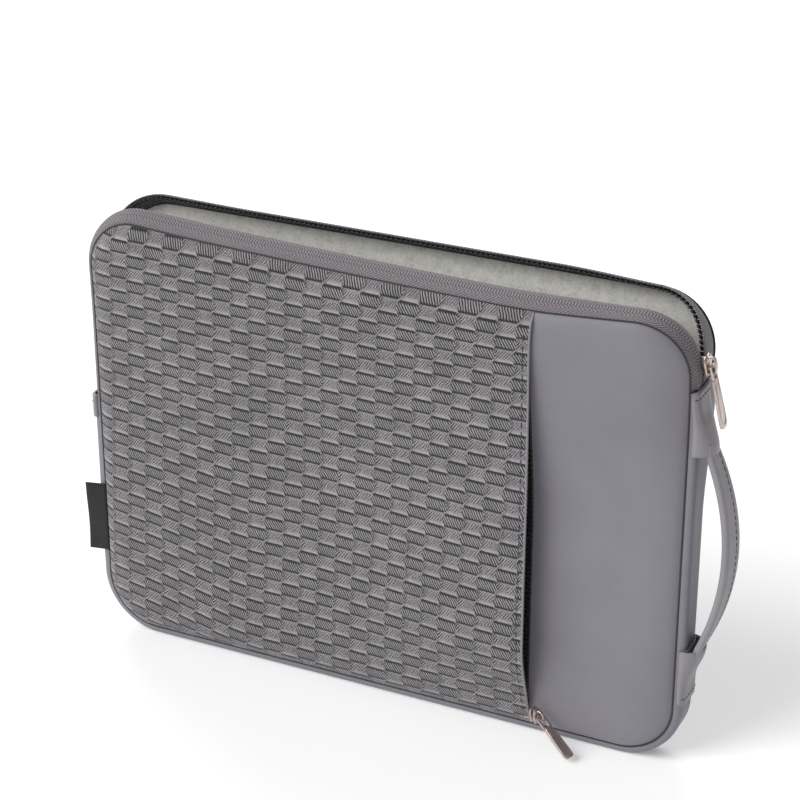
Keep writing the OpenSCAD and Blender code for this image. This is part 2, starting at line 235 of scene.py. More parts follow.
def quads(rows, cols, flip=False, wrap=False):
    i, j = np.meshgrid(np.arange(rows - 1), np.arange(cols if wrap else cols - 1), indexing="ij")
    k = (j + 1) % cols
    faces = np.stack([i * cols + j, (i + 1) * cols + j, (i + 1) * cols + k, i * cols + k], -1)
    faces = faces.reshape(-1, 4)
    return faces[:, ::-1] if flip else faces


def grid_piece(name, grid, slot, paint, uv=None, flip=False):
    rows, cols = grid.shape[:2]
    uv = metric_uv(grid) if uv is None else uv
    return mesh_piece(name, grid.reshape(-1, 3), quads(rows, cols, flip), slot, paint, uv.reshape(-1, 2))


def grid_normals(grid):
    along = np.gradient(grid, axis=0)
    across = np.gradient(grid, axis=1)
    return unit(np.cross(along, across))


def closed_pair(first, second):
    """Closed shape between two grids of one size, with its four narrow sides."""
    rows, cols = first.shape[:2]
    count = rows * cols
    ring = ([(i, 0) for i in range(rows)] + [(rows - 1, j) for j in range(1, cols)]
            + [(i, cols - 1) for i in range(rows - 2, -1, -1)] + [(0, j) for j in range(cols - 2, 0, -1)])
    edge = [i * cols + j for i, j in ring]
    sides = [(a, b, b + count, a + count) for a, b in zip(edge, edge[1:] + edge[:1])]
    faces = np.concatenate([quads(rows, cols, True), quads(rows, cols) + count, np.array(sides)])
    return np.concatenate([first.reshape(-1, 3), second.reshape(-1, 3)]), faces


def slab_piece(name, grid, thick, slot, paint):
    """Cloth strip with a thickness: the grid and a copy of it set back along its normals."""
    verts, faces = closed_pair(grid, grid + grid_normals(grid) * thick)
    return mesh_piece(name, verts, faces, slot, paint, np.tile(metric_uv(grid).reshape(-1, 2), (2, 1)))


def tube_faces(rings, around, caps=True):
    """Faces of a tube made of rings, with its two ends closed by caps."""
    faces = [tuple(f) for f in quads(rings, around, wrap=True)]
    if caps:
        faces.append(tuple(range(around)))
        faces.append(tuple(reversed(range((rings - 1) * around, rings * around))))
    return faces


def scatter_piece(name, verts, faces, places, slot, paint):
    """One mesh made of a small shape repeated at each (origin, three axes)."""
    verts = np.asarray(verts, float)
    count = len(verts)
    every, all_faces = [], []
    for k, (origin, axes) in enumerate(places):
        every.append(verts @ np.asarray(axes, float) + origin)
        all_faces.extend(tuple(i + k * count for i in f) for f in faces)
    return mesh_piece(name, np.concatenate(every), all_faces, slot, paint)


def spun_shape(profile, around):
    """Small closed shape, round about its own X, from (along, radius) pairs."""
    turn = np.linspace(0, 2 * math.pi, around, endpoint=False)
    rings = [[(a, r * math.cos(t), r * math.sin(t)) for t in turn] for a, r in profile]
    return np.array(rings).reshape(-1, 3), tube_faces(len(profile), around)


def stitch_shape(length, r):
    """One stitch: a short thread with rounded ends."""
    half = length / 2
    return spun_shape([(-half, 0.12 * r), (-0.9 * half, 0.7 * r), (-0.55 * half, r), (0.55 * half, r),
                       (0.9 * half, 0.7 * r), (half, 0.12 * r)], 6)


def along_line(points, out, pitch):
    """Places for stitches or teeth at an even pitch on a polyline, X along it and Z out of it."""
    points, out = np.asarray(points, float), np.asarray(out, float)
    length = np.concatenate([[0], np.cumsum(np.linalg.norm(np.diff(points, axis=0), axis=1))])
    at = np.arange(pitch / 2, length[-1], pitch)

    def read(values, places):
        return np.stack([np.interp(places, length, values[:, k]) for k in range(3)], -1)

    near = 0.2 * MM
    x_axis = unit(read(points, at + near) - read(points, at - near))
    y_axis = unit(np.cross(unit(read(out, at)), x_axis))
    z_axis = np.cross(x_axis, y_axis)
    return [(p, (a, b, c)) for p, a, b, c in zip(read(points, at), x_axis, y_axis, z_axis)]


# ---------------------------------------------------------------- materials
class Sum:
    """A socket of a node tree that plain arithmetic builds further nodes on."""

    def __init__(self, tree, socket):
        self.tree, self.socket = tree, socket

    def op(self, kind, *others):
        node = self.tree.nodes.new("ShaderNodeMath")
        node.operation = kind
        for slot_in, value in zip(node.inputs, (self, *others)):
            if isinstance(value, Sum):
                self.tree.links.new(value.socket, slot_in)
            else:
                slot_in.default_value = value
        return Sum(self.tree, node.outputs[0])

    def __add__(self, other):
        return self.op("ADD", other)

    def __sub__(self, other):
        return self.op("SUBTRACT", other)

    def __mul__(self, other):
        return self.op("MULTIPLY", other)

    def rest(self):
        """What is left of 1."""
        return self * -1 + 1.0

    def wave(self, period):
        """1 to -1 and back over one period."""
        return (self * (2 * math.pi / period)).op("SINE")

    def step(self, low, high):
        """Smooth change from 0 at low to 1 at high."""
        node = self.tree.nodes.new("ShaderNodeMapRange")
        node.interpolation_type = "SMOOTHSTEP"
        self.tree.links.new(self.socket, node.inputs[0])
        node.inputs[1].default_value, node.inputs[2].default_value = low, high
        return Sum(self.tree, node.outputs[0])


SOCKETS = {"specular": "Specular IOR Level", "sheen": "Sheen Weight", "sheen_rough": "Sheen Roughness",
           "metallic": "Metallic"}


class Paint:
    """A Principled material with short names for the few nodes used here."""

    def __init__(self, name, rough, **sockets):
        self.material = bpy.data.materials.new(name)
        self.material.use_nodes = True
        self.tree = self.material.node_tree
        self.shader = self.tree.nodes["Principled BSDF"]
        self.shader.inputs["Roughness"].default_value = rough
        for key, value in sockets.items():
            self.shader.inputs[SOCKETS[key]].default_value = value

    def coords(self, kind="Object"):
        node = self.tree.nodes.new("ShaderNodeTexCoord")
        return node.outputs[kind]

    def split(self, kind="UV"):
        node = self.tree.nodes.new("ShaderNodeSeparateXYZ")
        self.tree.links.new(self.coords(kind), node.inputs[0])
        return [Sum(self.tree, s) for s in node.outputs]

    def noise(self, size, detail, rough=0.55, stretch=None):
        node = self.tree.nodes.new("ShaderNodeTexNoise")
        node.inputs["Scale"].default_value = 1 / size
        node.inputs["Detail"].default_value = detail
        node.inputs["Roughness"].default_value = rough
        source = self.coords()
        if stretch:
            scale = self.tree.nodes.new("ShaderNodeMapping")
            scale.inputs["Scale"].default_value = stretch
            self.tree.links.new(source, scale.inputs[0])
            source = scale.outputs[0]
        self.tree.links.new(source, node.inputs["Vector"])
        return Sum(self.tree, node.outputs[0])

    def cells(self, size):
        """Distance to the edges of irregular cells."""
        node = self.tree.nodes.new("ShaderNodeTexVoronoi")
        node.feature = "DISTANCE_TO_EDGE"
        node.inputs["Scale"].default_value = 1 / size
        self.tree.links.new(self.coords(), node.inputs["Vector"])
        return Sum(self.tree, node.outputs[0])

    def colour(self, value, stops):
        """Base colour along a value, from (place, colour) stops."""
        node = self.tree.nodes.new("ShaderNodeValToRGB")
        elements = node.color_ramp.elements
        while len(elements) < len(stops):
            elements.new(0.5)
        for element, (place, colour) in zip(elements, stops):
            element.position, element.color = place, (*colour, 1)
        self.tree.links.new(value.socket, node.inputs[0])
        self.tree.links.new(node.outputs[0], self.shader.inputs["Base Color"])

    def shades(self, value, colour, *stops):
        """Darker and lighter shades of one colour along a value, from (place, factor) stops."""
        self.colour(value, [(place, [min(1.0, c * factor) for c in colour]) for place, factor in stops])

    def rough(self, value, low, high):
        node = self.tree.nodes.new("ShaderNodeMapRange")
        self.tree.links.new(value.socket, node.inputs[0])
        node.inputs[3].default_value, node.inputs[4].default_value = low, high
        self.tree.links.new(node.outputs[0], self.shader.inputs["Roughness"])

    def bump(self, height, depth, strength):
        node = self.tree.nodes.new("ShaderNodeBump")
        node.inputs["Strength"].default_value = strength
        node.inputs["Distance"].default_value = depth
        self.tree.links.new(height.socket, node.inputs["Height"])
        self.tree.links.new(node.outputs[0], self.shader.inputs["Normal"])


def skin_paint(name, colour, rough=0.5):
    """Coated skin: fine pebble grain, faint clouding, worn slightly smoother in places."""
    p = Paint(name, rough, specular=0.42)
    cloud = p.noise(45 * MM, 4)
    speck = p.noise(0.7 * MM, 2)
    p.shades(cloud * 0.7 + speck * 0.3, colour, (0.3, 0.90), (0.5, 1), (0.72, 1.09))
    p.rough(cloud, rough - 0.08, rough + 0.1)
    grain = p.cells(0.75 * MM).step(0.0, 0.32)
    p.bump(grain * 0.5 + speck * 0.6, 0.06 * MM, 0.55)
    return p.material


def tape_paint(name, colour):
    """Herringbone tape: a chevron spine along it and a band of short ribs near the free edge."""
    p = Paint(name, 0.85, sheen=0.15, sheen_rough=0.5)
    u, v, _ = p.split()
    side = (u - 4.6 * MM).op("ABSOLUTE")
    twill = (v + side * 1.1).wave(2.1 * MM)
    yarn = (v - side * 2.4).wave(1.1 * MM) * 0.3
    ribs = v.wave(1.6 * MM)
    band_side = (u - 8.3 * MM).op("ABSOLUTE")
    band = band_side.step(1.5 * MM, 1.1 * MM)
    groove = band_side.step(2.1 * MM, 1.7 * MM) * band.rest()
    weave = (twill * 0.8 + yarn) * band.rest() + ribs * band * 1.3 - groove * 0.6
    fleck = p.noise(0.9 * MM, 2)
    tone = weave * 0.32 + fleck * 0.55 + 0.24
    p.shades(tone, colour, (0.22, 0.42), (0.5, 1), (0.8, 1.55))
    p.bump(weave * 0.5 + fleck * 0.6, 0.22 * MM, 0.9)
    return p.material


def fleece_paint(name, colour):
    """Brushed lining: clumped short fibres that lie in different directions."""
    p = Paint(name, 0.95, sheen=0.6, sheen_rough=0.6)
    clump = p.noise(5 * MM, 4, 0.65)
    fibre = p.noise(0.8 * MM, 3, 0.7, (1.0, 1.0, 0.35))
    p.shades(clump * 0.45 + fibre * 0.55, colour, (0.3, 0.6), (0.5, 1), (0.7, 1.25))
    p.bump(clump * 0.6 + fibre * 0.7, 0.9 * MM, 0.8)
    return p.material


def weave_paint(name, colour, pitch, rough=0.9):
    """Plain weave on the object's own coordinates, for linings, ribbon and foam cloth."""
    p = Paint(name, rough, sheen=0.1)
    x, y, z = p.split("Object")
    threads = (x + y).wave(pitch) * z.wave(pitch)
    fleck = p.noise(3 * pitch, 2)
    p.shades(threads * 0.25 + fleck * 0.8, colour, (0.2, 0.6), (0.45, 1), (0.75, 1.5))
    p.bump(threads, 0.15 * MM, 0.7)
    return p.material


def metal_paint(name, colour):
    """Plated zinc with fine scratches and slightly duller patches."""
    p = Paint(name, 0.3, metallic=1.0)
    scratch = p.noise(0.5 * MM, 5, 0.7, (1.0, 6.0, 0.25))
    cloud = p.noise(4 * MM, 3)
    p.shades(cloud * 0.6 + scratch * 0.4, colour, (0.3, 0.82), (0.55, 1), (0.75, 1.12))
    p.rough(scratch * 0.5 + cloud * 0.5, 0.18, 0.46)
    p.bump(scratch, 0.03 * MM, 0.5)
    return p.material


def plastic_paint(name, colour):
    """Dark moulded nylon with an uneven gloss."""
    p = Paint(name, 0.38)
    fleck = p.noise(0.8 * MM, 3)
    p.shades(fleck, colour, (0.3, 0.7), (0.7, 1.6))
    p.rough(fleck, 0.28, 0.5)
    p.bump(fleck, 0.05 * MM, 0.4)
    return p.material


def thread_paint(name, colour):
    """Twisted sewing thread; also used for the near-black line of painted shadow in the walls' seams."""
    p = Paint(name, 0.7, sheen=0.2)
    x, y, z = p.split("Object")
    ply = (x + y * 1.3 + z * 1.7).wave(0.55 * MM)
    fleck = p.noise(1.5 * MM, 2)
    p.shades(ply * 0.2 + fleck * 0.8, colour, (0.25, 0.6), (0.7, 1.3))
    p.bump(ply, 0.08 * MM, 0.6)
    return p.material


CELL_W, CELL_H = 11.2 * MM, 8.07 * MM               # one cell of the chequered weave
CELL_POINT, ROW_MIDDLE = 0.5, 0.45                  # how far the ends of a cell are pointed
STROKE = 1.6 * MM                                   # pitch of the slanted strokes in a cell
COLUMN_LEAN = 0.057                                 # the weave's columns lean right going up
ROW_FAN = 0.09                                      # its rows climb and close up at the left
COLUMN_START, ROW_START = 0.313, -0.338             # puts the cells where they meet the pocket's edge


def cell_coords(x, z):
    """Chequer coordinates, in cells."""
    raised = ROW_FAN * (HIGH_Z - z) * smooth(-x, 70 * MM, 175 * MM)
    column = (x - COLUMN_LEAN * (z - HIGH_Z / 2)) / CELL_W + COLUMN_START
    return column, (z - raised) / CELL_H + ROW_START


def weave_fields(u, v):
    """Relief parts of the chequered weave: how much a spot is in a dark cell, and its height in a row."""
    row = np.sin(math.pi * v)
    mask = np.cos(math.pi * u) * np.sign(row) + CELL_POINT * (np.abs(row) - ROW_MIDDLE)
    return smooth(mask, -0.14, 0.14), v - np.floor(v)


def chequer_paint(name):
    """Woven chequer: pale cells with fine slanted strokes and a painted highlight along their lower edge,
    dark cells with bold ones and painted shade along their top and bottom edges.
    """
    p = Paint(name, 0.9, sheen=0.12)
    u, v, _ = p.split()
    row = (v * math.pi).op("SINE")
    mask = ((u * math.pi).op("COSINE") * row.op("SIGN")
            + (row.op("ABSOLUTE") - ROW_MIDDLE) * CELL_POINT)
    dark = mask.step(-0.08, 0.08)
    rise = v.op("FRACT")
    warp = (p.noise(5 * MM, 3) - 0.5) * (1.8 * MM)
    broken = p.noise(1.9 * MM, 2).step(0.36, 0.58)
    bias_up = (u * CELL_W - v * (0.7 * CELL_H) + warp).wave(STROKE) * broken
    bias_down = (u * CELL_W + v * (0.6 * CELL_H) + warp).wave(STROKE)
    local = (u + 0.5).op("FRACT")
    left_end = local.step(0.34, 0.02)
    fleck = p.noise(1.1 * MM, 3, 0.65)
    middle = rise.step(0.22, 0.4) * rise.step(0.94, 0.74)
    # Pale cells: the rise.step(0.3, 0.1) term is a painted highlight on the ridge along their lower edge
    pale_tone = (fleck * 0.5 + 0.42 + rise.step(0.3, 0.1) * 0.16 - middle * 0.1
                 + bias_up * (middle * 0.42 + left_end * 0.3) - left_end * 0.24)
    # Painted shade: dark bands at the top and bottom of each row in the dark cells, where they sink between
    # the pale cells
    painted_shade_top = rise.step(0.74, 0.88)
    painted_shade_low = rise.step(0.2, 0.08)
    dark_tone = (fleck * 0.4 + 0.2 + bias_down * 0.44 + rise.step(0.2, 0.55) * 0.06
                 - painted_shade_top * 0.7 - painted_shade_low * 0.6)
    tone = pale_tone * dark.rest() + dark_tone * dark
    shade = p.noise(14 * MM, 3) * 0.3 - 0.15
    p.colour(tone + shade, [(0.1, (0.011, 0.011, 0.012)), (0.4, (0.082, 0.078, 0.082)),
                            (0.68, (0.183, 0.173, 0.182)), (0.95, (0.32, 0.3, 0.312))])
    p.bump(tone + fleck * 0.3, 0.35 * MM, 0.7)
    return p.material


SKIN = skin_paint("grey_skin", (0.176, 0.168, 0.192))
STRAP_SKIN = skin_paint("strap_skin", (0.213, 0.203, 0.222), 0.42)
CHEQUER = chequer_paint("chequer_fabric")
TAPE = tape_paint("herringbone_tape", (0.148, 0.131, 0.145))
# Near black: partly the pocket zip's own tape colour, partly painted shade for the dark band inside the
# pocket's opening
BLACK_TAPE_AND_SHADE = weave_paint("black_tape_and_shade", (0.022, 0.021, 0.023), 1.1 * MM)
COIL = plastic_paint("black_coil", (0.012, 0.012, 0.013))
FLEECE = fleece_paint("brushed_lining", (0.46, 0.455, 0.425))
FOAM = weave_paint("padding", (0.6, 0.6, 0.57), 1.6 * MM)
DARK_LINING = weave_paint("dark_lining", (0.03, 0.029, 0.032), 0.9 * MM)
METAL = metal_paint("champagne_metal", (0.5, 0.42, 0.39))
RIBBON = weave_paint("black_ribbon", (0.007, 0.0065, 0.0075), 0.8 * MM, 0.8)
DARK_THREAD = thread_paint("dark_thread", (0.05, 0.048, 0.053))


# ---------------------------------------------------------------- camera, floor and light
AZIMUTH, ELEVATION, DISTANCE = math.radians(25.54), math.radians(25.15), 1.2436
TARGET = Vector((0.0053, 0.0095, 0.1752))
LENS, SENSOR_W = 103.1, 36


def make_camera():
    data = bpy.data.cameras.new("camera")
    data.lens, data.sensor_width = LENS, SENSOR_W
    camera = bpy.data.objects.new("camera", data)
    bpy.context.scene.collection.objects.link(camera)
    back = Vector((math.sin(AZIMUTH) * math.cos(ELEVATION), -math.cos(AZIMUTH) * math.cos(ELEVATION),
                   math.sin(ELEVATION)))
    camera.location = TARGET + back * DISTANCE
    camera.rotation_euler = back.to_track_quat("Z", "Y").to_euler()
    bpy.context.scene.camera = camera


def sun_light(name, toward, strength, softness):
    """Distant soft light that comes from a direction."""
    light = bpy.data.lights.new(name, "SUN")
    light.energy, light.angle = strength, math.radians(softness)
    lamp = bpy.data.objects.new(name, light)
    lamp.rotation_euler = Vector(toward).to_track_quat("Z", "Y").to_euler()
    bpy.context.scene.collection.objects.link(lamp)


SKY_LIGHT = 0.38                                    # on the object; the sky itself is seen white
FLOOR_GLOW = 0.12
FLOOR_HALF_W, FLOOR_Z = 3.0, -0.4 * MM


def make_studio():
    world = bpy.data.worlds.new("studio")
    world.use_nodes = True
    tree = world.node_tree
    sky = tree.nodes["Background"]
    sky.inputs["Color"].default_value = (1, 1, 1, 1)
    seen = tree.nodes.new("ShaderNodeLightPath").outputs["Is Camera Ray"]
    level = tree.nodes.new("ShaderNodeMapRange")
    level.inputs["To Min"].default_value = SKY_LIGHT
    level.inputs["To Max"].default_value = 1.0
    tree.links.new(seen, level.inputs["Value"])
    tree.links.new(level.outputs["Result"], sky.inputs["Strength"])
    bpy.context.scene.world = world
    sun_light("key", (-0.95, -1.0, 1.0), 3.1, 48)
    sun_light("rim", (-0.7, 1.0, 1.1), 1.3, 40)
    corners = [(x * FLOOR_HALF_W, y * FLOOR_HALF_W, FLOOR_Z) for x, y in ((-1, -1), (1, -1), (1, 1), (-1, 1))]
    floor_paint = Paint("pale_floor", 0.9)
    floor_paint.colour(floor_paint.noise(0.4, 3), [(0.3, (0.9, 0.9, 0.9)), (0.7, (0.93, 0.93, 0.93))])
    glow = floor_paint.shader.inputs
    glow["Emission Color"].default_value, glow["Emission Strength"].default_value = (1, 1, 1, 1), FLOOR_GLOW
    floor = mesh_piece("floor", corners, [(0, 1, 2, 3)], "grey_skin", floor_paint.material)


bpy.context.scene.view_settings.view_transform = "Standard"
make_camera()
make_studio()


# ---------------------------------------------------------------- walls
PILLOW = 24 * MM                                    # how far in from the seam a wall still curves
BOW_LOW, BOW_HIGH = 125 * MM, SEAM_HIGH - 6 * MM    # the front wall bows out to the mouth between these


def pillow(distance):
    """Share of a wall's full depth at a distance from its seam."""
    t = np.clip(distance / PILLOW, 0, 1)
    return np.power(1 - np.power(1 - t, 2.4), 0.62)


def front_seam(x, z):
    return SIDE_SEAM + top_share(z) * mouth_bow(x)


def back_seam(x, z):
    return SIDE_SEAM + top_share(z) * 3.2 * MM * np.cos(x / RIM_HALF_W * 1.2)


def sag_drop(x, z):
    drop = SAG_SHARE * np.maximum(mouth_bow(x) - SAG_FROM, 0)
    return drop * smooth(z, SEAM_HIGH - 45 * MM, SEAM_HIGH)


def sagged(x, z):
    """The front seam hangs a little lower where the mouth is pushed open."""
    return z - sag_drop(x, z)


def facing_front(x, depth, z):
    """Points at a depth in front of the middle, sagged with the front seam."""
    return np.stack([x, -depth, sagged(x, z)], -1)


def turned_back(x, depth, z):
    """Points at a depth behind the middle, turned with the open back wall."""
    return opened(np.stack([x, depth, z], -1), fold_share(z))


def front_depth(x, z, inset=0.0):
    full = WALL_DEPTH + 0.4 * MM + mouth_bow(x) * smooth(z, BOW_LOW, BOW_HIGH)
    full = full + 0.35 * MM * ripple(x, z, 42 * MM, 0.6)
    edge = front_seam(x, z)
    return edge + (full - edge) * pillow(border_distance(x, z, SEAM_R)) - inset


def back_depth(x, z, inset=0.0):
    full = WALL_DEPTH + 0.3 * MM + 0.4 * MM * ripple(x, z, 50 * MM, 1.9)
    edge = back_seam(x, z)
    return edge + (full - edge) * pillow(border_distance(x, z, SEAM_R)) - inset


def wall_plan(r, step, corner_rows, columns, right=None):
    """X and Z of a wall's grid: rows up the wall, columns across it out to the rounded outline."""
    z = row_heights(r, step, corner_rows)[:, None]
    u = np.linspace(-1, 1, columns)[None, :]
    u = 0.55 * u + 0.45 * np.sin(u * math.pi / 2) if right is None else u
    reach = half_width(z, r)
    x_right = reach if right is None else np.minimum(reach, right)
    x = -reach + (u + 1) / 2 * (reach + x_right)
    return x, np.broadcast_to(z, x.shape)


WALL_STEP = 4 * MM


def wall_piece(name, place, depth, columns, r, slot, paint, flip=False):
    x, z = wall_plan(r, WALL_STEP, 12, columns)
    return grid_piece(name, place(x, depth(x, z), z), slot, paint, np.stack([x, z], -1), flip)


def bend_at_fold(piece):
    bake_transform(piece)


FRONT_COLUMNS, BACK_COLUMNS = 110, 90
LINING_R = SEAM_R - 0.9 * MM
LINING_INSET = 6.3 * MM                             # outer face of a wall to its lining


def lining_depth(wall_depth, seam):
    """The lining hangs inside its wall and meets it at the seam."""
    def depth(x, z):
        edge = seam(x, z) - 1.2 * MM
        full = wall_depth(x, z, LINING_INSET) + 0.5 * MM * ripple(x, z, 30 * MM, 3.1)
        near = smooth(border_distance(x, z, LINING_R), 0, 16 * MM)
        return edge + (full - edge) * near
    return depth


front_lining_depth = lining_depth(front_depth, front_seam)
back_lining_depth = lining_depth(back_depth, back_seam)
for name, depth, r, slot, paint, node in (
        ("skin", (front_depth, back_depth), SEAM_R, "grey_skin", SKIN, "panel"),
        ("lining_cloth", (front_lining_depth, back_lining_depth), LINING_R, "fleece", FLEECE, "lining")):
    front = wall_piece(f"front_{name}", facing_front, depth[0], FRONT_COLUMNS, r, slot, paint)
    if node == "lining":
        front.data.flip_normals()
    fix_to(front, "shell", f"front_{node}")

    back = wall_piece(f"back_{name}", turned_back, depth[1], BACK_COLUMNS, r, slot, paint, node == "panel")
    bend_at_fold(back)
    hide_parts(f"back_{node}_lower", f"back_{node}_upper")

PAD_R = SEAM_R - 2.2 * MM
SKIN_T, PAD_GAP = 0.8 * MM, 0.7 * MM                # padding to the wall's outer face, and to its lining
PAD_EDGE = 12 * MM                                  # the padding thins to its edge over this distance


def wall_pad(name, place, depth, lining):
    """Closed crowned pad between a wall and its lining, drawn in to a thin edge."""
    x, z = wall_plan(PAD_R, 7 * MM, 8, 60)
    edge = smooth(border_distance(x, z, PAD_R), 0, PAD_EDGE)
    far, near = depth(x, z, SKIN_T), lining(x, z) + PAD_GAP
    middle, half = (far + near) / 2, np.maximum((far - near) / 2, 0.2 * MM) * (0.12 + 0.88 * edge)
    verts, faces = closed_pair(place(x, middle + half, z), place(x, middle - half, z))
    pad = mesh_piece(name, verts, faces, "foam", FOAM)
    return pad


fix_to(wall_pad("front_padding", facing_front, front_depth, front_lining_depth), "shell", "front_foam")
back_pad = wall_pad("back_padding", turned_back, back_depth, back_lining_depth)
bend_at_fold(back_pad)
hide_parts("back_foam_lower", "back_foam_upper")


# ---------------------------------------------------------------- gusset
# Half of the strip's cross-section, from the seam to the middle: (share of the half width, radius)
STRIP_SHAPE = [(1.0, 29.2), (1.02, 30.6), (1.015, 32.2), (0.965, 33.7), (0.87, 34.7), (0.72, 35.1),
               (0.5, 35.15), (0.25, 35.1), (0.0, 35.05)]
LINING_SHAPE = [(0.94, 29.0), (0.9, 30.4), (0.72, 31.2), (0.4, 31.4), (0.0, 31.4)]
PAD_OUT = [(0.9, 31.6), (0.84, 32.7), (0.6, 33.6), (0.3, 33.8), (0.0, 33.8)]
PAD_IN = [(0.9, 31.4), (0.8, 31.7), (0.5, 31.9), (0.25, 31.9), (0.0, 31.9)]


def both_halves(shape):
    """Shares and radii across the whole strip, front to back."""
    front = [(-share, r * MM) for share, r in shape]
    back = [(share, r * MM) for share, r in reversed(shape[:-1])]
    share, r = (np.array(column) for column in zip(*(front + back)))
    return share[None, :], r[None, :]


def strip_depth(share, front, back):
    """Y across the strip for a share of -1 at the front seam and 1 at the back one."""
    return (back - front) / 2 * share + (back + front) / 2


def gusset_round(shape, step):
    """The long run below the fold, round the bottom."""
    stations = rim_stations(FOLD_Z, FOLD_Z, False, step)
    share, r = both_halves(shape)
    return on_rim(stations, r, strip_depth(share, -SIDE_SEAM, SIDE_SEAM))


CORNER_DROP = 2.3 * MM                              # the tapes rise less where they reach the slider


def end_dip(z, r):
    """How far the gusset's right end drops to meet the tapes."""
    near = smooth(z, ZIP_RIGHT_Z - 20 * MM, ZIP_RIGHT_Z)
    return CORNER_DROP * near * np.clip((r - SEAM_R) / (RIM_R - SEAM_R), 0, 1)


def gusset_spread(shape, step, top=ZIP_RIGHT_Z):
    """The right side above the fold, where the open back wall spreads the strip."""
    z = np.linspace(FOLD_Z, top, max(4, round((top - FOLD_Z) / step)))[:, None]
    share, r = both_halves(shape)
    edge = turned_back(*np.broadcast_arrays(SEAM_HALF_W, back_seam(SEAM_HALF_W, z), z))
    y = strip_depth(share, -front_seam(np.array(SEAM_HALF_W), z), edge[..., 1])
    risen = smooth(share, -0.2, 1.0) * smooth(z, FOLD_Z, FOLD_Z + 12 * MM)
    height = z + (edge[..., 2] - z) * risen
    across = CORNER_X + r - end_dip(z, r)
    return np.stack(np.broadcast_arrays(across, y, height), -1).astype(float)


def spread_bend(piece):
    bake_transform(piece)


for names, node, shape, step, widths, slot, paint, flip in (
        (("gusset_round", "gusset_right"), "gusset_strip", STRIP_SHAPE, 3 * MM, (27 * MM, 37 * MM),
         "grey_skin", SKIN, True),
        (("gusset_lining_cloth", "gusset_lining_right"), "gusset_lining", LINING_SHAPE, 4 * MM,
         (19 * MM, 27 * MM), "fleece", FLEECE, False)):
    runs = gusset_round(shape, step), gusset_spread(shape, step)
    below = grid_piece(names[0], runs[0], slot, paint, flip=flip)
    right = grid_piece(names[1], runs[1], slot, paint, flip=not flip)
    fix_to(below, "shell", node)
    spread_bend(right)
    for piece, width, run in zip((below, right), widths, runs):
        strip_sheet(piece, width, run)


# ---------------------------------------------------------------- pocket
POCKET_LIFT = POCKET_DEPTH - WALL_DEPTH
LIFT_ACROSS = -60 * MM, POCKET_EDGE + 4 * MM        # the pocket stands off more and more over this width
LIFT_RISES, LIFT_FALLS = (SEAM_LOW + 2 * MM, 62 * MM), (120 * MM, 252 * MM)
RELIEF = 0.42 * MM                                  # height of the weave's cells


def pocket_lift(x, z):
    """How far the pocket stands off the wall: most at its open edge, low down."""
    up = smooth(z, *LIFT_RISES) * (1 - 0.95 * smooth(z, *LIFT_FALLS))
    return POCKET_LIFT * smooth(x, *LIFT_ACROSS) * up


def pocket_depth(x, z, inset=0.0):
    """Depth of the pocket's outer face; an inset takes it inwards, but not at its seams."""
    near = smooth(border_distance(x, z, SEAM_R), 0, 7 * MM)
    return front_depth(x, z) + 1.3 * MM * near + pocket_lift(x, z) - inset * near


def cell_relief(x, z):
    """Pale cells stand proud with a ridge along their lower edge; dark cells lie lower."""
    dark, rise = weave_fields(*cell_coords(x, z))
    arch = np.sin(math.pi * np.clip(rise, 0, 1)) ** 0.5
    pale = arch * (0.95 - 0.45 * rise)
    low = 0.32 * arch
    edge_column = smooth(x, POCKET_EDGE - 6.5 * MM, POCKET_EDGE - 5 * MM)
    return RELIEF * (pale * (1 - dark) + low * dark) * (1 - edge_column)


def pocket_cloth():
    x, z = wall_plan(SEAM_R + 0.2 * MM, 1.05 * MM, 24, 208, right=POCKET_EDGE)
    near = smooth(border_distance(x, z, SEAM_R), 0, 5 * MM)
    depth = pocket_depth(x, z) + cell_relief(x, z) * (0.3 + 0.7 * near)
    cells = np.stack(cell_coords(x, z), -1)
    return grid_piece("pocket_cloth", facing_front(x, depth, z), "pattern_fabric", CHEQUER, cells)


def folded_binding(z):
    """Narrow skin strip folded round the pocket's open edge."""
    x = np.full_like(z, POCKET_EDGE)
    line = facing_front(x, pocket_depth(x, z), z)
    turn = np.linspace(-0.6 * math.pi, 0.6 * math.pi, 9)
    across, deep = 0.8 * MM * np.cos(turn), 0.7 * MM * np.sin(turn)
    grid = np.repeat(line[:, None, :], len(turn), axis=1)
    grid[..., 0] += across - 0.2 * MM
    grid[..., 1] += deep + 0.55 * MM
    return grid


pocket = pocket_cloth()
fix_to(pocket, "shell", "pocket_panel")
edge_z = np.linspace(SEAM_LOW + 0.5 * MM, SEAM_HIGH - 0.4 * MM, 120)
binding = grid_piece("pocket_edge_binding", folded_binding(edge_z), "grey_skin", STRAP_SKIN)
fix_to(binding, "shell", "pocket_binding")

x, z = wall_plan(SEAM_R - 0.5 * MM, 4 * MM, 12, 70, right=POCKET_EDGE - 0.4 * MM)
pocket_back = grid_piece("pocket_lining_cloth", facing_front(x, pocket_depth(x, z, 0.9 * MM), z),
                         "dark_lining", DARK_LINING, np.stack([x, z], -1), flip=True)
fix_to(pocket_back, "shell", "pocket_lining")

(TAPE_LEFT, _, TAPE_LOW), (TAPE_RIGHT, _, TAPE_HIGH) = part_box("pocket_tape_rear")
POCKET_TAPE_W = TAPE_RIGHT - TAPE_LEFT


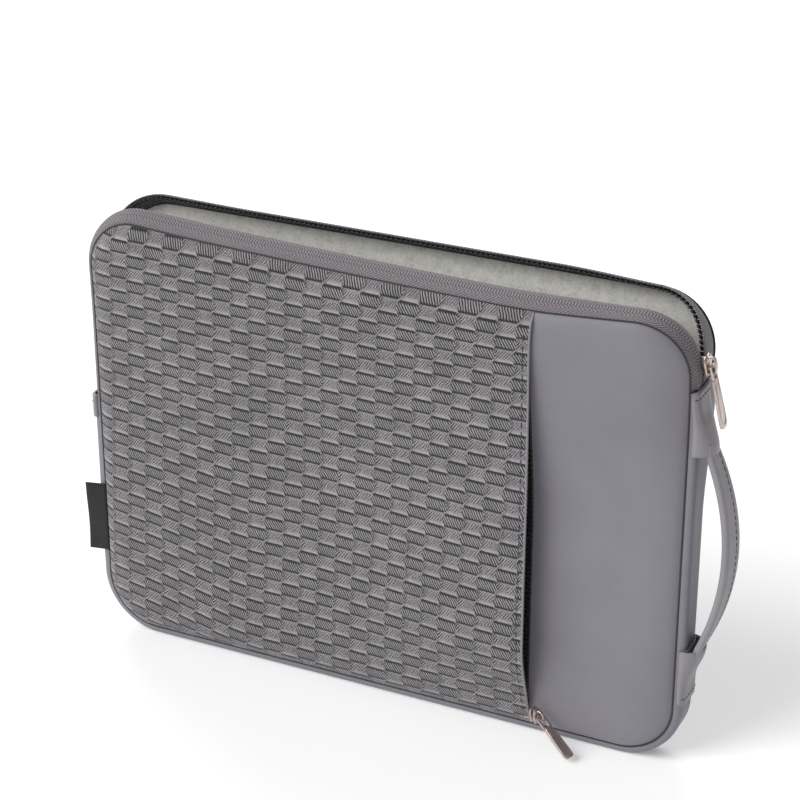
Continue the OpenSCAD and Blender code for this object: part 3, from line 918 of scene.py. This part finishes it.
# The pocket's zip tapes take the near-black paint: part tape colour, part painted shade inside the pocket's
# opening
def pocket_tape(name, depth, node):
    z = np.linspace(TAPE_LOW, TAPE_HIGH, 90)[:, None]
    x = np.linspace(POCKET_EDGE - POCKET_TAPE_W, POCKET_EDGE - 0.2 * MM, 7)[None, :]
    x, z = np.broadcast_arrays(x, z)
    piece = slab_piece(name, facing_front(x, depth(x, z), z), 0.6 * MM, "zip_tape", BLACK_TAPE_AND_SHADE)
    fix_to(piece, "shell", node)


pocket_tape("pocket_rear_tape", lambda x, z: front_depth(x, z) + 0.9 * MM, "pocket_tape_rear")
pocket_tape("pocket_front_tape", lambda x, z: pocket_depth(x, z, 1.9 * MM), "pocket_tape_front")


# ---------------------------------------------------------------- zip teeth
TOOTH_PITCH = 1.45 * MM
TOOTH_PAIRING = 0.16                                # share of the pitch that each tooth leans to its partner


def tooth_shape(length, r):
    """One turn of a nylon coil: a short bar across the tape with a fatter head at the free end."""
    half = length / 2
    profile = [(-half, 0.25 * r), (-0.92 * half, 0.8 * r), (-0.6 * half, 0.85 * r), (0.3 * half, 0.8 * r),
               (0.62 * half, 1.1 * r), (0.86 * half, 1.15 * r), (half, 0.35 * r)]
    verts, faces = spun_shape(profile, 7)
    return verts[:, [1, 0, 2]], [tuple(reversed(f)) for f in faces]


def toothed_edge(name, line, out, length, r):
    """Pairs of teeth along a line; the bars lie across it, on its inner side."""
    verts, faces = tooth_shape(length, r)
    places = along_line(line, out, TOOTH_PITCH)
    paired = [(origin + np.array(axes[0]) * (TOOTH_PAIRING if k % 2 else -TOOTH_PAIRING) * TOOTH_PITCH, axes)
              for k, (origin, axes) in enumerate(places)]
    return scatter_piece(name, verts, faces, paired, "zip_coil", COIL)


def pocket_teeth(name, depth, node, outward):
    z = np.linspace(TAPE_LOW + 1 * MM, TAPE_HIGH - 1 * MM, 160)
    x = np.full_like(z, POCKET_EDGE - 1.4 * MM)
    line = facing_front(x, depth(x, z), z)
    out = np.tile([0, -outward, 0], (len(z), 1))
    fix_to(toothed_edge(name, line, out, 3 * MM, 0.55 * MM), "shell", node)


# The rear teeth stand on the wall, under the pocket's cloth; the front ones hang from it, off the wall
def rear_teeth_depth(x, z):
    return np.minimum(front_depth(x, z) + 1.9 * MM, pocket_depth(x, z, 1.1 * MM))


def front_teeth_depth(x, z):
    return np.maximum(pocket_depth(x, z, 3.0 * MM), front_depth(x, z) + 0.6 * MM)


pocket_teeth("pocket_rear_teeth", rear_teeth_depth, "pocket_coil_rear", 1)
pocket_teeth("pocket_front_teeth", front_teeth_depth, "pocket_coil_front", -1)


# ---------------------------------------------------------------- main zip
FREE_GAP = 1.5 * MM                                 # free edge of a closed tape from the middle
TAPE_T = np.linspace(0, 1, 12)
TAPE_THICK, TAPE_STEP = 0.7 * MM, 2.2 * MM
TEETH_INSET = 1.5 * MM                              # teeth's middles below the tape's outer face
SEAM_TUCK = 0.7 * MM                                # the tape starts this far under the wall's edge


def tape_profile(stations, seam_depth):
    """Grid of a closed tape on the side of positive depth, stations by profile."""
    seam = on_rim(stations, SEAM_R, 0.0)
    edge = seam_depth(seam[..., 0], seam[..., 2])
    lean = np.minimum(edge - FREE_GAP, TAPE_LEAN)
    at_right, at_left = (smooth(s * seam[..., 0], 90 * MM, 160 * MM) for s in (1, -1))
    rise = TAPE_RISE + SEAM_TUCK - CORNER_DROP * at_right + 0.7 * MM * at_left
    arch = np.sin(TAPE_T * math.pi / 2)[None, :] ** (0.9 - 0.35 * at_left)
    return on_rim(stations, SEAM_R - SEAM_TUCK + rise * arch, edge - lean * TAPE_T[None, :] - 0.3 * MM)


def front_tape_grid():
    grid = tape_profile(rim_stations(LEFT_END_Z, ZIP_RIGHT_Z, True, TAPE_STEP), front_seam)
    grid[..., 2] -= sag_drop(grid[..., 0], grid[..., 2])
    grid[..., 1] *= -1
    return grid


def back_tape_grid():
    """The back tape, with its right end drawn forward to the slider, and how far each station is."""
    closed = tape_profile(rim_stations(FOLD_Z, ZIP_RIGHT_Z, True, TAPE_STEP), back_seam)
    grid = opened(closed, fold_share(closed[..., 2]))
    down = np.clip((HIGH_Z + RIM_R - closed[:, -1, 2]) / (HIGH_Z + RIM_R - ZIP_RIGHT_Z), 0, 1)
    pull = np.where(closed[:, -1, 0] > CORNER_X, smooth(down, 0.06, 0.86), 0)[:, None]
    share = pull * TAPE_T[None, :] ** 0.8
    grid[..., 1] += (closed[..., 1] * 0.7 - grid[..., 1]) * share
    grid[..., 2] += (closed[..., 2] - grid[..., 2]) * share
    return grid, pull[:, 0]


def zip_bend(piece):
    """Bakes the piece's placement into its mesh."""
    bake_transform(piece)


def teeth_line(grid):
    """Line of the teeth's middles on the inner side of a tape's free edge, and its outward face."""
    normals = grid_normals(grid)
    out = normals[:, -2] * (np.sign(normals[..., 2].mean()) or 1.0)
    return grid[:, -2] - out * TEETH_INSET, out


front_run = front_tape_grid()
back_run, tape_pull = back_tape_grid()
split = int(np.argmax(tape_pull > 0))
# Side and end of each run of tape, its grid, the side of its thickness, its cut width, what carries it
TAPE_RUNS = (("front", "", front_run, 1, 13.5 * MM, lambda piece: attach(piece, "shell")),
             ("back", "", back_run[:split + 1], -1, 13 * MM, bend_at_fold),
             ("back", "_end", back_run[split:], -1, 18 * MM, zip_bend))
for side, end, run, face, width, carry in TAPE_RUNS:
    tape = slab_piece(f"{side}_tape{end}", run, face * TAPE_THICK, "zip_tape", TAPE)
    carry(tape)
    if not end:
        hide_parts(f"{side}_zip_tape")
    strip_sheet(tape, width, run)
for side, end, run, _, _, carry in TAPE_RUNS:
    teeth = toothed_edge(f"{side}_teeth{end}", *teeth_line(run), 3.5 * MM, 0.68 * MM)
    carry(teeth)
    if not end:
        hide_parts(f"{side}_zip_coil")


# ---------------------------------------------------------------- gusset padding, tab and label
def gusset_pad(name, build):
    """Closed strip of padding between the strip's skin and its lining."""
    rings = np.concatenate([build(PAD_OUT), build(PAD_IN)[:, ::-1]], axis=1)
    piece = mesh_piece(name, rings.reshape(-1, 3), tube_faces(*rings.shape[:2]), "foam", FOAM)
    return piece


PAD_STEP, PAD_TOP = 5 * MM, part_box("gusset_foam")[1][2]
fix_to(gusset_pad("gusset_padding", lambda shape: gusset_round(shape, PAD_STEP)), "shell", "gusset_foam")
spread_bend(gusset_pad("gusset_padding_right", lambda shape: gusset_spread(shape, PAD_STEP, PAD_TOP)))


def label_grid():
    """Ribbon folded in half, its two ends sewn into the front seam."""
    low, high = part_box("side_label")
    seam_x, tip_x, lean = -SEAM_HALF_W + 0.5 * MM, low[0] + 1.4 * MM, 2.2 * MM
    out = np.linspace(0, 1, 9)
    turn = np.linspace(-math.pi / 2, math.pi / 2, 7)
    y0, half_t = -SIDE_SEAM - 0.6 * MM, 0.35 * MM
    x = seam_x + (tip_x - seam_x) * out
    front = np.stack([x, y0 - half_t - lean * out], -1)
    fold = np.stack([tip_x - 0.5 * MM * np.cos(turn), y0 - lean + half_t * np.sin(turn)], -1)[1:-1]
    back = np.stack([x, y0 + half_t - lean * out], -1)[::-1]
    section = np.concatenate([front, fold, back])
    z = np.linspace(low[2], high[2], 24)
    grid = np.zeros((len(z), len(section), 3))
    grid[..., 0], grid[..., 1] = section[:, 0], section[:, 1]
    grid[..., 2] = z[:, None]
    away = (seam_x - grid[..., 0]) / (seam_x - tip_x)
    grid[..., 1] += 0.7 * MM * np.sin((z[:, None] - low[2]) * 110) * away
    return grid


label_run = label_grid()
label = slab_piece("plain_side_label", label_run, 0.3 * MM, "label_weave", RIBBON)
fix_to(label, "shell", "side_label")
strip_sheet(label, 25 * MM, label_run)


# ---------------------------------------------------------------- metal parts
def plate_shape(outline, low, high, edge):
    """Plate of (across, along) points between two heights, with its edges softened."""
    points = np.array(outline, float) * MM
    inner = points - unit(points - points.mean(0)) * edge
    between = 0.3 * inner + 0.7 * points
    levels = [(low, inner), (low + 0.4 * edge, between), (low + edge, points),
              (high - edge, points), (high - 0.4 * edge, between), (high, inner)]
    rings = [np.column_stack([np.full(len(p), h), p]) for h, p in levels]
    return np.concatenate(rings), tube_faces(len(levels), len(points))


def mirrored(half):
    """Outline from its half with positive across values, listed along the part."""
    return half + [(-a, b) for a, b in reversed(half)]


def bar_shape(path, side, half_in, half_side, closed=False, around=12):
    """Rounded bar on a path; half_in lies in the path's plane and half_side along the fixed side."""
    path, side = np.array(path, float) * MM, np.array(side, float)
    if closed:
        tangent = np.roll(path, -1, axis=0) - np.roll(path, 1, axis=0)
    else:
        tangent = np.gradient(path, axis=0)
    normal = unit(np.cross(unit(tangent), side))
    turn = np.linspace(0, 2 * math.pi, around, endpoint=False) + math.pi / around
    a = half_in * np.sign(np.cos(turn)) * np.abs(np.cos(turn)) ** 0.6
    b = half_side * np.sign(np.sin(turn)) * np.abs(np.sin(turn)) ** 0.6
    rings = path[:, None] + a[None, :, None] * normal[:, None] + b[None, :, None] * side
    faces = tube_faces(len(path), around, caps=not closed)
    if closed:
        last = (len(path) - 1) * around
        faces += [(last + j, j, (j + 1) % around, last + (j + 1) % around) for j in range(around)]
    return rings.reshape(-1, 3), faces


def joined(*parts):
    """Several shapes as one."""
    verts, faces, count = [], [], 0
    for part_verts, part_faces in parts:
        verts.append(part_verts)
        faces.extend(tuple(i + count for i in f) for f in part_faces)
        count += len(part_verts)
    return np.concatenate(verts), faces


def metal_piece(name, shape, origin, axes, body, node):
    """Places a shape drawn in (out, across, along) on its three axes."""
    verts = shape[0] @ np.array(axes, float) + np.array(origin, float)
    piece = mesh_piece(name, verts, shape[1], "pale_metal", METAL)
    piece.data.set_sharp_from_angle(angle=math.radians(38))
    fix_to(piece, body, node)


def slider_shape(inner, outer, plate, half_w, half_l, bridge):
    """Zip slider: two shield plates, the diamond between them and the bridge that holds the pull."""
    w, k = half_w / MM, half_l / MM
    shield = mirrored([(0.16 * w, 0.86 * k), (0.5 * w, k), (0.86 * w, 0.86 * k), (w, 0.5 * k),
                       (0.95 * w, 0.05 * k), (0.78 * w, -0.45 * k), (0.7 * w, -0.84 * k),
                       (0.48 * w, -k)])
    diamond = mirrored([(0.05 * w, 0.8 * k), (0.24 * w, 0.4 * k), (0.12 * w, -0.4 * k), (0.03 * w, -0.5 * k)])
    top, base = bridge / MM, (outer + plate) / MM
    rising = [(base - 0.3, 0, 0.74 * k), (base + 0.45 * top, 0, 0.76 * k), (base + 0.78 * top, 0, 0.62 * k),
              (base + 0.88 * top, 0, 0.34 * k)]
    arch = rising + [(base + 0.9 * top, 0, 0)] + [(out, 0, -along) for out, _, along in reversed(rising)]
    return joined(plate_shape(shield, outer, outer + plate, 0.4 * MM),
                  plate_shape(shield, inner, inner + plate, 0.4 * MM),
                  plate_shape(diamond, inner + 0.2 * MM, outer + 0.5 * MM, 0.2 * MM),
                  bar_shape(arch, (0, 1, 0), 0.5 * MM, 0.27 * half_w))


def pull_shape(length, half_w, thick):
    """Flat pull: a round eye at the top, a tapered tab with a raised rim and a small end hole boss."""
    k, w = length / MM, half_w / MM
    eye_w, eye_l = 0.7 * w, 7.4
    turn = np.linspace(0, math.pi, 7)
    low = [(0.0, eye_w * math.cos(a), -0.5 * math.sin(a)) for a in turn]
    high = [(0.0, -eye_w * math.cos(a), -(eye_l - 0.6) - 0.6 * math.sin(a)) for a in turn]
    eye = bar_shape(low + high, (1, 0, 0), 0.8 * MM, 0.46 * thick, True)
    tab = mirrored([(0.66 * w, -eye_l + 0.7), (0.8 * w, -eye_l - 1.6), (0.93 * w, -0.5 * k),
                    (w, -0.82 * k), (0.97 * w, -0.93 * k), (0.78 * w, -0.985 * k), (0.4 * w, -k)])
    rim = mirrored([(0.45 * w, -eye_l - 2.5), (0.62 * w, -eye_l - 4), (0.78 * w, -0.8 * k),
                    (0.7 * w, -0.9 * k), (0.45 * w, -0.935 * k)])
    face = [plate_shape(tab, -0.5 * thick, 0.5 * thick, 0.35 * MM)]
    for out in (-1, 1):
        level = out * 0.52 * thick / MM
        face.append(bar_shape([(level, a, b) for a, b in rim], (1, 0, 0), 0.22 * MM, 0.16 * MM, True, 8))
    return joined(eye, *face)


def turned(degrees):
    """Axes (out, across, along) of a part that faces +X and is turned up by an angle."""
    angle = math.radians(degrees)
    return (math.cos(angle), 0, math.sin(angle)), (0, 1, 0), (-math.sin(angle), 0, math.cos(angle))


JOINTS = {j["name"]: j for j in frame["record"]["behaviour"]["joints"]}
# Sliders: heights of the inner and outer plate, their thickness, half width and length, the bridge's height
MAIN_SLIDER = (28 * MM, 34.7 * MM, 1.4 * MM, 5.2 * MM, 5.5 * MM, 4.2 * MM)
SMALL_SLIDER = (0.0, 2.8 * MM, 1.2 * MM, 3 * MM, 4.5 * MM, 4.2 * MM)
# Pulls: length, half width and thickness
MAIN_PULL, SMALL_PULL = (34 * MM, 4 * MM, 1.6 * MM), (27.5 * MM, 3.3 * MM, 1.6 * MM)
SLIDER_TURN, PULL_TURN = 8, 14
metal_piece("main_zip_slider", slider_shape(*MAIN_SLIDER), (CORNER_X, 0, HIGH_Z), turned(SLIDER_TURN),
            "zip_slider", "main_slider")
metal_piece("main_zip_pull", pull_shape(*MAIN_PULL), JOINTS["zip_pull_swing"]["pos_m"], turned(PULL_TURN),
            "zip_pull", "main_pull_tab")

# The pocket's slider faces out of the pocket's edge, and its pull hangs forward and down from it
POCKET_FACE, POCKET_TILT = math.radians(-20), math.radians(56)
face_out = np.array([math.cos(POCKET_FACE), math.sin(POCKET_FACE), 0])
face_side = np.array([-math.sin(POCKET_FACE), math.cos(POCKET_FACE), 0])
upward = np.array([0, 0, 1.0])
SMALL_AXIS = np.array(JOINTS["pocket_pull_swing"]["pos_m"])
EYE_OUT = 5.6                                       # mm from the slider's back out to its pull's axis
metal_piece("pocket_zip_slider", slider_shape(*SMALL_SLIDER), SMALL_AXIS - face_out * EYE_OUT * MM,
            (face_out, face_side, upward), "small_slider", "pocket_slider")
tab_up = upward * math.cos(POCKET_TILT) - face_out * math.sin(POCKET_TILT)
tab_out = face_out * math.cos(POCKET_TILT) + upward * math.sin(POCKET_TILT)
metal_piece("pocket_zip_pull", pull_shape(*SMALL_PULL), SMALL_AXIS, (tab_out, face_side, tab_up),
            "small_pull", "pocket_pull_tab")


def clamp_shape(half_out, half_across, half_along):
    """Small bent clamp: a rounded block with a pinched waist."""
    turn = np.linspace(0, 2 * math.pi, 16, endpoint=False)
    rings = []
    for a, grow in ((-1, 0.75), (-0.85, 1), (-0.25, 1), (0, 0.86), (0.25, 1), (0.85, 1), (1, 0.75)):
        c, s = np.cos(turn), np.sin(turn)
        rings.append(np.column_stack([half_out * grow * np.sign(c) * np.abs(c) ** 0.5,
                                      half_across * grow * np.sign(s) * np.abs(s) ** 0.5,
                                      np.full(len(turn), a * half_along)]))
    return np.concatenate(rings), tube_faces(len(rings), len(turn))


stop_low, stop_high = (Vector(v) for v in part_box("zip_bottom_stop"))
stop_half = (stop_high - stop_low) / 2
metal_piece("zip_end_clamp", clamp_shape(1.3 * MM, stop_half.y, stop_half.z), (stop_low + stop_high) / 2,
            np.eye(3), "shell", "zip_bottom_stop")

CLAMP_HALF = 1.5 * MM
stops_low, stops_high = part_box("pocket_zip_stops")
clamps = []
for end_z in (stops_low[2] + CLAMP_HALF, stops_high[2] - CLAMP_HALF):
    spot_x, spot_z = np.array(POCKET_EDGE - CLAMP_HALF), np.array(end_z)
    spot = facing_front(spot_x, front_depth(spot_x, spot_z) + 0.7 * MM, spot_z)
    verts, faces = clamp_shape(0.6 * MM, CLAMP_HALF, CLAMP_HALF)
    clamps.append((verts[:, [1, 0, 2]] + spot, faces))
metal_piece("pocket_zip_clamps", joined(*clamps), (0, 0, 0), np.eye(3), "shell", "pocket_zip_stops")


# ---------------------------------------------------------------- handle
strap_low, strap_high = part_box("handle_strap")
top_low, top_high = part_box("handle_top_anchor")
bottom_low, bottom_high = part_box("handle_bottom_anchor")
STRAP_MID_Z = (strap_low[2] + strap_high[2]) / 2
STRAP_MOUTHS = (bottom_high[2], top_low[2])
STRAP_SPAN = (STRAP_MOUTHS[1] - STRAP_MOUTHS[0]) / 2
STRAP_IN = RIM_HALF_W + 5.5 * MM                    # strap's middle line at the two mouths
STRAP_BOW = strap_high[0] - 2 * MM - STRAP_IN
STRAP_TWIST = math.radians(-11)                     # the strap turns a little to the front in its middle
STRAP_BEND = 40 * MM                                # length of strap at each anchor; it has no effect on the shape


def strap_line(z):
    """X of the strap's middle line: an arc that straightens where it enters the anchors."""
    t = (z - STRAP_MID_Z) / STRAP_SPAN
    bow = STRAP_IN + STRAP_BOW * (1 - t * t)
    return np.where(np.abs(t) > 1, STRAP_IN - 1.2 * MM * smooth(np.abs(t), 1, 1.12), bow)


def strap_path(low, high, count):
    z = np.linspace(low, high, count)
    return np.stack([strap_line(z), np.zeros(count), z], -1)


def ring_section(half):
    """Whole section from its outer half, with the inner half a little flatter."""
    front = [(a * MM, b * MM) for a, b in half]
    back = [(a * MM, -b * 0.9 * MM) for a, b in reversed(half)]
    return np.array(front + back)


# Outer half of the folded strap, as (across, out): a rolled front edge, a flat back with a sewn groove
STRAP_SECTION = ring_section([(-7.5, 0.2), (-7.3, 1.2), (-6.6, 1.95), (-5.4, 2.2), (-4.0, 2.05), (-2.0, 1.95),
                              (0.6, 1.95), (1.9, 1.85), (2.6, 1.62), (3.3, 1.82), (5.6, 1.7), (7.1, 1.1),
                              (7.5, 0.3)])
CORE_SECTION = ring_section([(-4.5, 0.1), (-4.2, 0.6), (-3.4, 0.8), (0, 0.85), (2.4, 0.8), (3.0, 0.1)])
STITCH_ACROSS = 2.6 * MM                            # the stitches run in the groove


def strap_axes(path):
    """Outward and crosswise directions along the strap, with its slight twist."""
    tangent = unit(np.gradient(path, axis=0))
    out = unit(np.cross(tangent, np.array([0, -1.0, 0])))
    out *= np.sign(out[:, :1])
    side = np.tile([0, 1.0, 0], (len(path), 1))
    share = np.clip(1 - ((path[:, 2] - STRAP_MID_Z) / STRAP_SPAN) ** 2, 0, 1)
    angle = (STRAP_TWIST * share)[:, None]
    return out * np.cos(angle) + side * np.sin(angle), side * np.cos(angle) - out * np.sin(angle)


def strap_tube(path, section):
    out, side = strap_axes(path)
    rings = path[:, None] + section[None, :, 1:2] * out[:, None] + section[None, :, :1] * side[:, None]
    return rings.reshape(-1, 3), tube_faces(len(path), len(section))


def strap_halves(name, slot, paint, section, node, reach):
    """Upper and lower half, each sewn to the sleeve at its end and meeting the other at the middle."""
    halves = []
    for part, low, high in (("upper", STRAP_MID_Z, STRAP_MOUTHS[1] + reach),
                            ("lower", STRAP_MOUTHS[0] - reach, STRAP_MID_Z)):
        half = mesh_piece(f"{name}_{part}", *strap_tube(strap_path(low, high, 44), section), slot, paint)
        half.data.set_sharp_from_angle(angle=math.radians(70))
        halves.append(swing_blend(half, part))
    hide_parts(node)
    return halves


def swing_blend(piece, part):
    """Bakes the placement of a half of the strap into its mesh."""
    mouth, towards = (STRAP_MOUTHS[1], -1) if part == "upper" else (STRAP_MOUTHS[0], 1)
    mouth + towards * STRAP_BEND
    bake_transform(piece)
    return piece


SKIN_REACH, CORE_REACH = 6 * MM, -3 * MM            # how far each goes in past the anchors' mouths
strap_halves("handle_strap_skin", "grey_skin", STRAP_SKIN, STRAP_SECTION, "handle_strap", SKIN_REACH)
for core in strap_halves("handle_core_pad", "foam", FOAM, CORE_SECTION, "handle_core", CORE_REACH):
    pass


def stitching(name, lines, length, r, pitch):
    """Stitches laid along lines, each given with its outward directions."""
    places = [place for line, out in lines for place in along_line(line, out, pitch)]
    return scatter_piece(name, *stitch_shape(length, r), places, "thread", DARK_THREAD)


def strap_stitches(part, low, high):
    line = strap_path(low, high, 60)
    out, across = strap_axes(line)
    lines = [(line + face * out * height + across * STITCH_ACROSS, face * out)
             for face, height in ((1, 1.72 * MM), (-1, 1.5 * MM))]
    return swing_blend(stitching(f"handle_stitching_{part}", lines, 2.5 * MM, 0.3 * MM, 3.9 * MM), part)


upper_stitches = strap_stitches("upper", STRAP_MID_Z, STRAP_MOUTHS[1] - 2 * MM)
strap_stitches("lower", STRAP_MOUTHS[0] + 2 * MM, STRAP_MID_Z)
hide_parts("handle_stitches")

SEAM_SHADOW_R = 0.5 * MM                            # radius of the near-black line of painted shadow in the crease of the walls' seams
# Near-black paint for the seam line: a painted shadow in the seams' crease, drawn with the thread paint
SEAM_SHADOW_PAINT = thread_paint("seam_shadow_line", (0.012, 0.011, 0.013))
ANCHOR_HALF_W = top_high[1]
ANCHOR_LIFT = top_high[0] - RIM_HALF_W
ANCHOR_SKIN = 1.4 * MM
MOUTH_REACH = 24 * MM                               # length over which an anchor rises to its mouth
RING_POINTS = 25                                    # points on each face of an anchor's section


def anchor_ring(z, lift, inset):
    """Section of an anchor: it wraps the gusset's shoulders and arches outwards in the middle."""
    share, r = (values[0] for values in both_halves(STRIP_SHAPE))
    base = np.column_stack([CORNER_X + r, share * SIDE_SEAM])[r > SEAM_R + 1.6 * MM]
    spread = np.linspace(0, 1, RING_POINTS)
    at = np.linspace(0, 1, len(base))
    base = np.column_stack([np.interp(spread, at, base[:, 0]), np.interp(spread, at, base[:, 1])])
    tangent = unit(np.gradient(base, axis=0))
    normal = np.column_stack([tangent[:, 1], -tangent[:, 0]])
    normal *= np.sign((normal * (base - base.mean(0))).sum(1).mean())
    arch = np.clip(1 - (base[:, 1] / ANCHOR_HALF_W) ** 2, 0, 1) ** 0.55
    ends = np.clip(np.minimum(spread, 1 - spread) / 0.05, 0, 1) ** 0.5
    outer = base + normal * ((0.2 * MM + (ANCHOR_SKIN - inset) * ends)[:, None])
    outer[:, 0] += (lift - inset * (lift > 1 * MM)) * arch
    inner = base + normal * (0.1 * MM)
    inner[:, 0] += np.where(lift > 1 * MM, inset, 0) * arch
    ring = np.concatenate([outer, inner[::-1]])
    ring[:, 0] -= end_dip(z, RIM_R)
    return np.column_stack([ring, np.full(len(ring), z)])


def anchor_shell(mouth_z, end_z):
    """Folded skin pocket over a strap end: an outer skin that turns in at its mouth."""
    lip = ANCHOR_LIFT - ANCHOR_SKIN

    def lift(away):
        """How far the skin stands off the gusset at a distance from the mouth."""
        return lip * (1 - smooth(away, 0.5 * MM, MOUTH_REACH))

    rings = []
    for share in np.linspace(0, 1, 20):
        z = end_z + (mouth_z - end_z) * share
        rings.append(anchor_ring(z, lift(abs(z - mouth_z)), 0.0))
    side = math.copysign(1, end_z - mouth_z)
    for deep, inset in ((-0.35, 0.35), (-0.1, 0.95), (1.0, 1.15), (4, 1.25), (8, 1.3)):
        rings.append(anchor_ring(mouth_z + side * deep * MM, lift(max(deep, 0) * MM), inset * MM))
    return np.concatenate(rings), tube_faces(len(rings), len(rings[0]))


for part, mouth_z, end_z in (("top", top_low[2], top_high[2]), ("bottom", bottom_high[2], bottom_low[2])):
    anchor = mesh_piece(f"handle_anchor_{part}", *anchor_shell(mouth_z, end_z), "grey_skin", STRAP_SKIN)
    fix_to(anchor, "shell", f"handle_{part}_anchor")

TAB_LOW, TAB_HIGH = (corner[2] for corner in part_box("zip_end_tab"))
tab_rings = [anchor_ring(z, 0.0, 0.0) * [-1, 1, 1] for z in np.linspace(TAB_LOW, TAB_HIGH + 1.5 * MM, 10)]
tab_faces = [tuple(reversed(f)) for f in tube_faces(len(tab_rings), len(tab_rings[0]))]
end_tab = mesh_piece("zip_end_patch", np.concatenate(tab_rings), tab_faces, "grey_skin", STRAP_SKIN)
end_tab.data.set_sharp_from_angle(angle=math.radians(60))
fix_to(end_tab, "shell", "zip_end_tab")


def seam_loop(depth, out_y):
    """Closed line in the crease round a wall, where a near-black line is painted shadow in the seam."""
    top = rim_stations(FOLD_Z, FOLD_Z, True)
    bottom = rim_stations(FOLD_Z, FOLD_Z, False)[::-1]
    seam = on_rim(np.concatenate([top, bottom[1:-1]]), SEAM_R + 0.35 * MM, 0.0)[:, 0]
    seam[:, 1] = out_y * (depth(seam[:, 0], seam[:, 2]) + 0.1 * MM)
    return seam


# Thin near-black tube in a seam's crease: painted shadow, not a thread
def seam_shadow_line(name, loop):
    shape = bar_shape(loop / MM, (0, 1, 0), SEAM_SHADOW_R, SEAM_SHADOW_R, True, 6)
    return mesh_piece(name, *shape, "thread", SEAM_SHADOW_PAINT)


front_loop = seam_loop(front_seam, -1)
front_loop[:, 2] = sagged(front_loop[:, 0], front_loop[:, 2])
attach(seam_shadow_line("front_seam_shadow_line", front_loop), "shell")
back_loop = seam_loop(back_seam, 1)
bend_at_fold(seam_shadow_line("back_seam_shadow_line", opened(back_loop, fold_share(back_loop[:, 2]))))


def wrap_row(z, side):
    """A line across the gusset on a wrapped skin at one height, with its outward directions."""
    run = anchor_ring(z, 0.0, 0.0)[2:RING_POINTS - 2]
    out = np.cross([0, 0, 1.0], unit(np.gradient(run, axis=0)))
    out *= np.sign(out[:, :1].sum())
    return run * [side, 1, 1], out * [side, 1, 1]


anchor_rows = (top_high[2] - 4 * MM, bottom_low[2] + 4 * MM)
for name, heights, side, node in (("anchor_stitching", anchor_rows, 1, "anchor_stitches"),
                                  ("end_tab_stitching", (TAB_HIGH - 3 * MM,), -1, "end_tab_stitches")):
    rows = [wrap_row(z, side) for z in heights]
    fix_to(stitching(name, rows, 2.3 * MM, 0.3 * MM, 3.4 * MM), "shell", node)

row_z = np.linspace(SEAM_LOW + 10 * MM, SEAM_HIGH - 10 * MM, 90)
row_x = np.full_like(row_z, POCKET_EDGE - 3.2 * MM)
row = facing_front(row_x, pocket_depth(row_x, row_z) + 0.12 * MM, row_z)
rows = [(row, np.tile([0, -1.0, 0], (len(row), 1)))]
fix_to(stitching("pocket_edge_stitching", rows, 3.4 * MM, 0.34 * MM, 5.4 * MM), "shell", "pocket_stitches")
